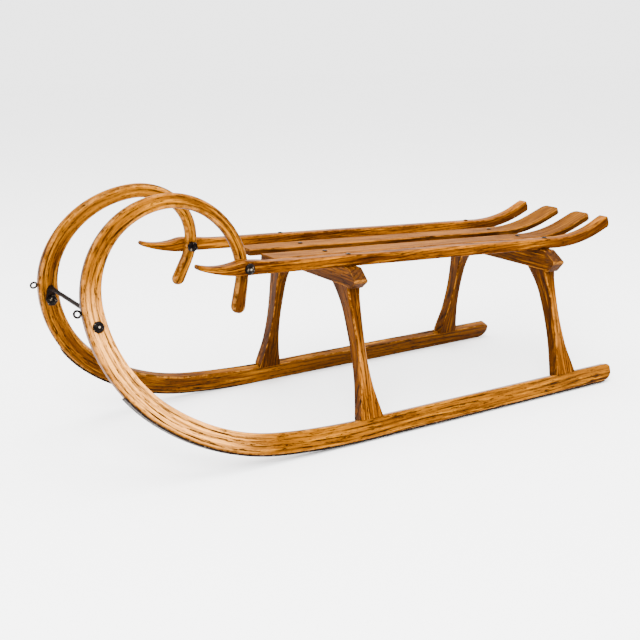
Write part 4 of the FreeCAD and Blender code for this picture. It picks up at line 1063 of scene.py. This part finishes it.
def make_fittings(side, side_name):
    outward = OUTWARD[side]
    # bolt and nut that tie horn and rail
    outer = RAIL_INNER_Y + RAIL_WIDTH
    horn_y = plane_y(HORN_BOLT_Z)
    seat_y = horn_y - HORN_WIDTH / 2 / COS_CANT - 0.3
    length = outer - seat_y + NUT_HEIGHT + 3.0
    points, faces = lathe(dome(BOLT_HEAD / 2, HORN_HEAD_HEIGHT, BOLT_DIAMETER / 2, length))
    where = facing((HORN_BOLT_X, side * outer, HORN_BOLT_Z), (0, side, 0))
    crown = where @ Vector((0.0, 0.0, HORN_HEAD_HEIGHT))
    fitting("horn_bolt_" + side_name, place(points, where), faces, highlight_spots=(crown,))
    points, faces = hexagon(NUT_ACROSS, NUT_HEIGHT, BOLT_DIAMETER / 2 + FIT)
    where = facing((HORN_BOLT_X, side * seat_y, HORN_BOLT_Z), (0, -side, 0), 0.2)
    fitting("horn_bolt_nut_" + side_name, place(points, where), faces)
    # bolt and nut of the spreader rod
    centre = runner_point(side, SPREADER_X, 0.0, SPREADER_W)
    length = 2 * SPREADER_FACE + SPREADER_EYE_THICKNESS + NUT_HEIGHT + 2.5
    points, faces = lathe(dome(BOLT_HEAD / 2, SPREADER_HEAD_HEIGHT, BOLT_DIAMETER / 2, length))
    where = facing(centre + outward * SPREADER_FACE, outward)
    crown = where @ Vector((0.0, 0.0, SPREADER_HEAD_HEIGHT))
    fitting("spreader_bolt_" + side_name, place(points, where), faces, highlight_spots=(crown,))
    inner = SPREADER_FACE + SPREADER_EYE_THICKNESS + 2 * FIT
    points, faces = hexagon(NUT_ACROSS, NUT_HEIGHT, BOLT_DIAMETER / 2 + FIT)
    where = facing(centre - outward * inner, -outward, 0.4)
    fitting("spreader_nut_" + side_name, place(points, where), faces)
    # tow eye
    eye_w = (EYE_RING_Z - RUNNER_FLOOR_Z) / COS_CANT
    x, w, heading = sole_at(front_at_height(eye_w))
    forward = Vector((math.sin(heading), 0.0, -math.cos(heading)))
    ring = EYE_RING / 2
    wire = EYE_WIRE / 2
    out_by = ring + wire - 0.4
    ring_points = []
    for k in range(37):
        t = math.radians(-90 + 360 * k / 36 * 0.985)
        ring_points.append((ring * math.cos(t), out_by + ring * math.sin(t)))
    tangent = Vector((-forward.z, 0.0, forward.x))

    def eye_spot(a, b):
        px = x + forward.x * b + tangent.x * a
        pw = w + forward.z * b + tangent.z * a
        return runner_point(side, px, 0.0, pw)

    loop = along_tube([eye_spot(a, b) for a, b in ring_points], wire, 16)
    round_bar = EYE_SHANK / 2
    places = [eye_spot(0.0, b) for b in (-EYE_SHANK_LENGTH, -12.0, -1.0, 0.4, 1.2)]
    shank = along_tube(places, [1.2, round_bar, round_bar, round_bar, 1.3], 16)
    points, faces = join(loop, shank)
    fitting("tow_eye_" + side_name, points, faces)
    # screws over the beams
    rail_y = RAIL_INNER_Y + RAIL_WIDTH / 2 + 1.0
    up = Vector((-math.sin(PITCH), 0, math.cos(PITCH)))
    slat_row = ("slat_screws_", SLAT_MIDDLE_Y - 0.8, SLAT_THICKNESS)
    for stem, y, seat in (slat_row, ("rail_screws_", rail_y, RAIL_DEPTH)):
        shapes = []
        for x, spin in ((SCREW_FRONT_X, 0.7), (SCREW_REAR_X, 2.1)):
            profile = dome(SCREW_HEAD / 2, SCREW_HEAD_HEIGHT, SCREW_DIAMETER / 2, SCREW_LENGTH)
            points, faces = lathe(profile, 28)
            where = facing(deck_point(x, side * y, seat), up, spin + side)
            shapes.append((place(points, where), faces))
        points, faces = join(*shapes)
        fitting(stem + side_name, points, faces)


def make_spreader():
    """Round bar with a flattened, turned-down eye forged at each end."""
    shapes = []
    face_y = plane_y(SPREADER_Z) - SPREADER_FACE / COS_CANT - 2.0
    path = []
    radii = []
    count = 40
    for k in range(count + 1):
        y = -face_y + 2 * face_y * k / count
        path.append(Vector((SPREADER_X, y, SPREADER_Z)))
        near = smooth((abs(y) - face_y) / SPREADER_FLARE + 1.0)
        radii.append(SPREADER_DIAMETER / 2 + 1.6 * near)
    shapes.append(along_tube(path, radii, 24))
    for side, _ in SIDES:
        rod_w = (SPREADER_Z - RUNNER_FLOOR_Z) / COS_CANT + 1.0
        wide = SPREADER_EYE_WIDTH / 2
        ring = []
        for start, centre_w, radius in ((math.pi, SPREADER_W, wide), (0.0, rod_w, wide * ROD_END_SHARE)):
            for k in range(25):
                t = start + math.pi * k / 24
                ring.append((radius * math.cos(t), centre_w + radius * math.sin(t)))
        rows = []
        inner = SPREADER_FACE + FIT
        outer = inner + SPREADER_EYE_THICKNESS
        middle_w = (SPREADER_W + rod_w) / 2
        levels = ((inner, 0.94), (inner + 0.5, 1.0), (outer - 1.4, 1.0), (outer - 0.5, 0.95), (outer, 0.84))
        for out, grow in levels:
            row = []
            for a, w in ring:
                spot = runner_point(side, SPREADER_X + a * grow, -out, middle_w + (w - middle_w) * grow)
                row.append((spot, (0.0, 0.0, 0.0)))
            rows.append(row)
        points, faces = skin(rows)
        points = [p[0] for p in points]
        if side == LEFT:
            faces = turned_over(faces)
        shapes.append((points, faces))
    points, faces = join(*shapes)
    fitting("spreader_rod", points, faces, material=ROD_IRON)


for side, side_name in SIDES:
    make_runner(side, side_name)
    make_shoe(side, side_name)
    for name, beam_x, depth, foot_step in BEAMS:
        make_leg(side, side_name, name, beam_x, depth, foot_step)
    make_slat(side, side_name)
    make_rail(side, side_name)
    make_fittings(side, side_name)
for name, beam_x, depth, foot_step in BEAMS:
    make_beam(name, beam_x, depth, foot_step)
make_spreader()


# ---- floor, light and camera

# camera: azimuth, elevation and roll in degrees, place in metres, lens and sensor in millimetres
CAMERA_ANGLES = (148.964, 15.546, 0.831)
CAMERA_PLACE = (1.0631, 1.6645, 0.7162)
LENS = 58.28
SENSOR_WIDTH = 36.0
# lights: name, place, target, size and power, in metres and watts
LIGHTS = (
    ("key", (1.9, 2.3, 2.7), (0.1, 0.0, 0.2), (1.5, 1.5), 260.0),
    ("fill_left", (-2.4, 2.2, 1.6), (0.0, 0.0, 0.2), (1.6, 1.6), 50.0),
    ("top", (0.2, 0.2, 3.4), (0.0, 0.0, 0.0), (3.0, 3.0), 230.0),
)
SKY_STRENGTH = 3.4


def floor():
    n = Nodes("pale_floor")
    place_node = n.node("ShaderNodeTexCoord").outputs["Object"]
    cloud = n.noise(n.scale(place_node, (3.0, 3.0, 3.0)), detail=3.0)
    colour = n.mix(cloud, tone(0.97345, 0.97345, 0.97345), tone(1.0, 1.0, 1.0))
    n.fill(n.shader, {"Base Color": colour, "Roughness": 0.9})
    reach, level = 14.0, -0.0002
    points = [(x * reach, y * reach, level) for x, y in ((-1, -1), (1, -1), (1, 1), (-1, 1))]
    mesh = bpy.data.meshes.new("floor")
    mesh.from_pydata(points, [], [(0, 1, 2, 3)])
    item = bpy.data.objects.new("floor", mesh)
    bpy.context.scene.collection.objects.link(item)
    item.data.materials.append(n.material)


def area_light(name, location, target, size, power):
    data = bpy.data.lights.new(name, "AREA")
    data.shape = "RECTANGLE"
    data.size, data.size_y = size
    data.energy = power
    item = bpy.data.objects.new(name, data)
    bpy.context.scene.collection.objects.link(item)
    item.location = location
    item.rotation_mode = "QUATERNION"
    item.rotation_quaternion = (Vector(target) - Vector(location)).to_track_quat("-Z", "Y")


def studio():
    world = bpy.data.worlds.new("studio")
    bpy.context.scene.world = world
    world.use_nodes = True
    back = world.node_tree.nodes["Background"]
    back.inputs[0].default_value = (1.0, 1.0, 1.0, 1.0)
    back.inputs[1].default_value = SKY_STRENGTH
    for light in LIGHTS:
        area_light(*light)


def camera():
    azimuth, elevation, roll = [math.radians(angle) for angle in CAMERA_ANGLES]
    back = Vector((math.sin(azimuth) * math.cos(elevation), -math.cos(azimuth) * math.cos(elevation),
                   math.sin(elevation)))
    right = Vector((0, 0, 1)).cross(back).normalized()
    up = back.cross(right)
    turned_right = right * math.cos(roll) - up * math.sin(roll)
    turned_up = right * math.sin(roll) + up * math.cos(roll)
    data = bpy.data.cameras.new("camera")
    data.sensor_width = SENSOR_WIDTH
    data.lens = LENS
    data.clip_start = 0.05
    data.clip_end = 60.0
    item = bpy.data.objects.new("camera", data)
    bpy.context.scene.collection.objects.link(item)
    turn = Matrix((turned_right, turned_up, back)).transposed()
    item.rotation_mode = "QUATERNION"
    item.rotation_quaternion = turn.to_quaternion()
    item.location = CAMERA_PLACE
    bpy.context.scene.camera = item


floor()
studio()
camera()
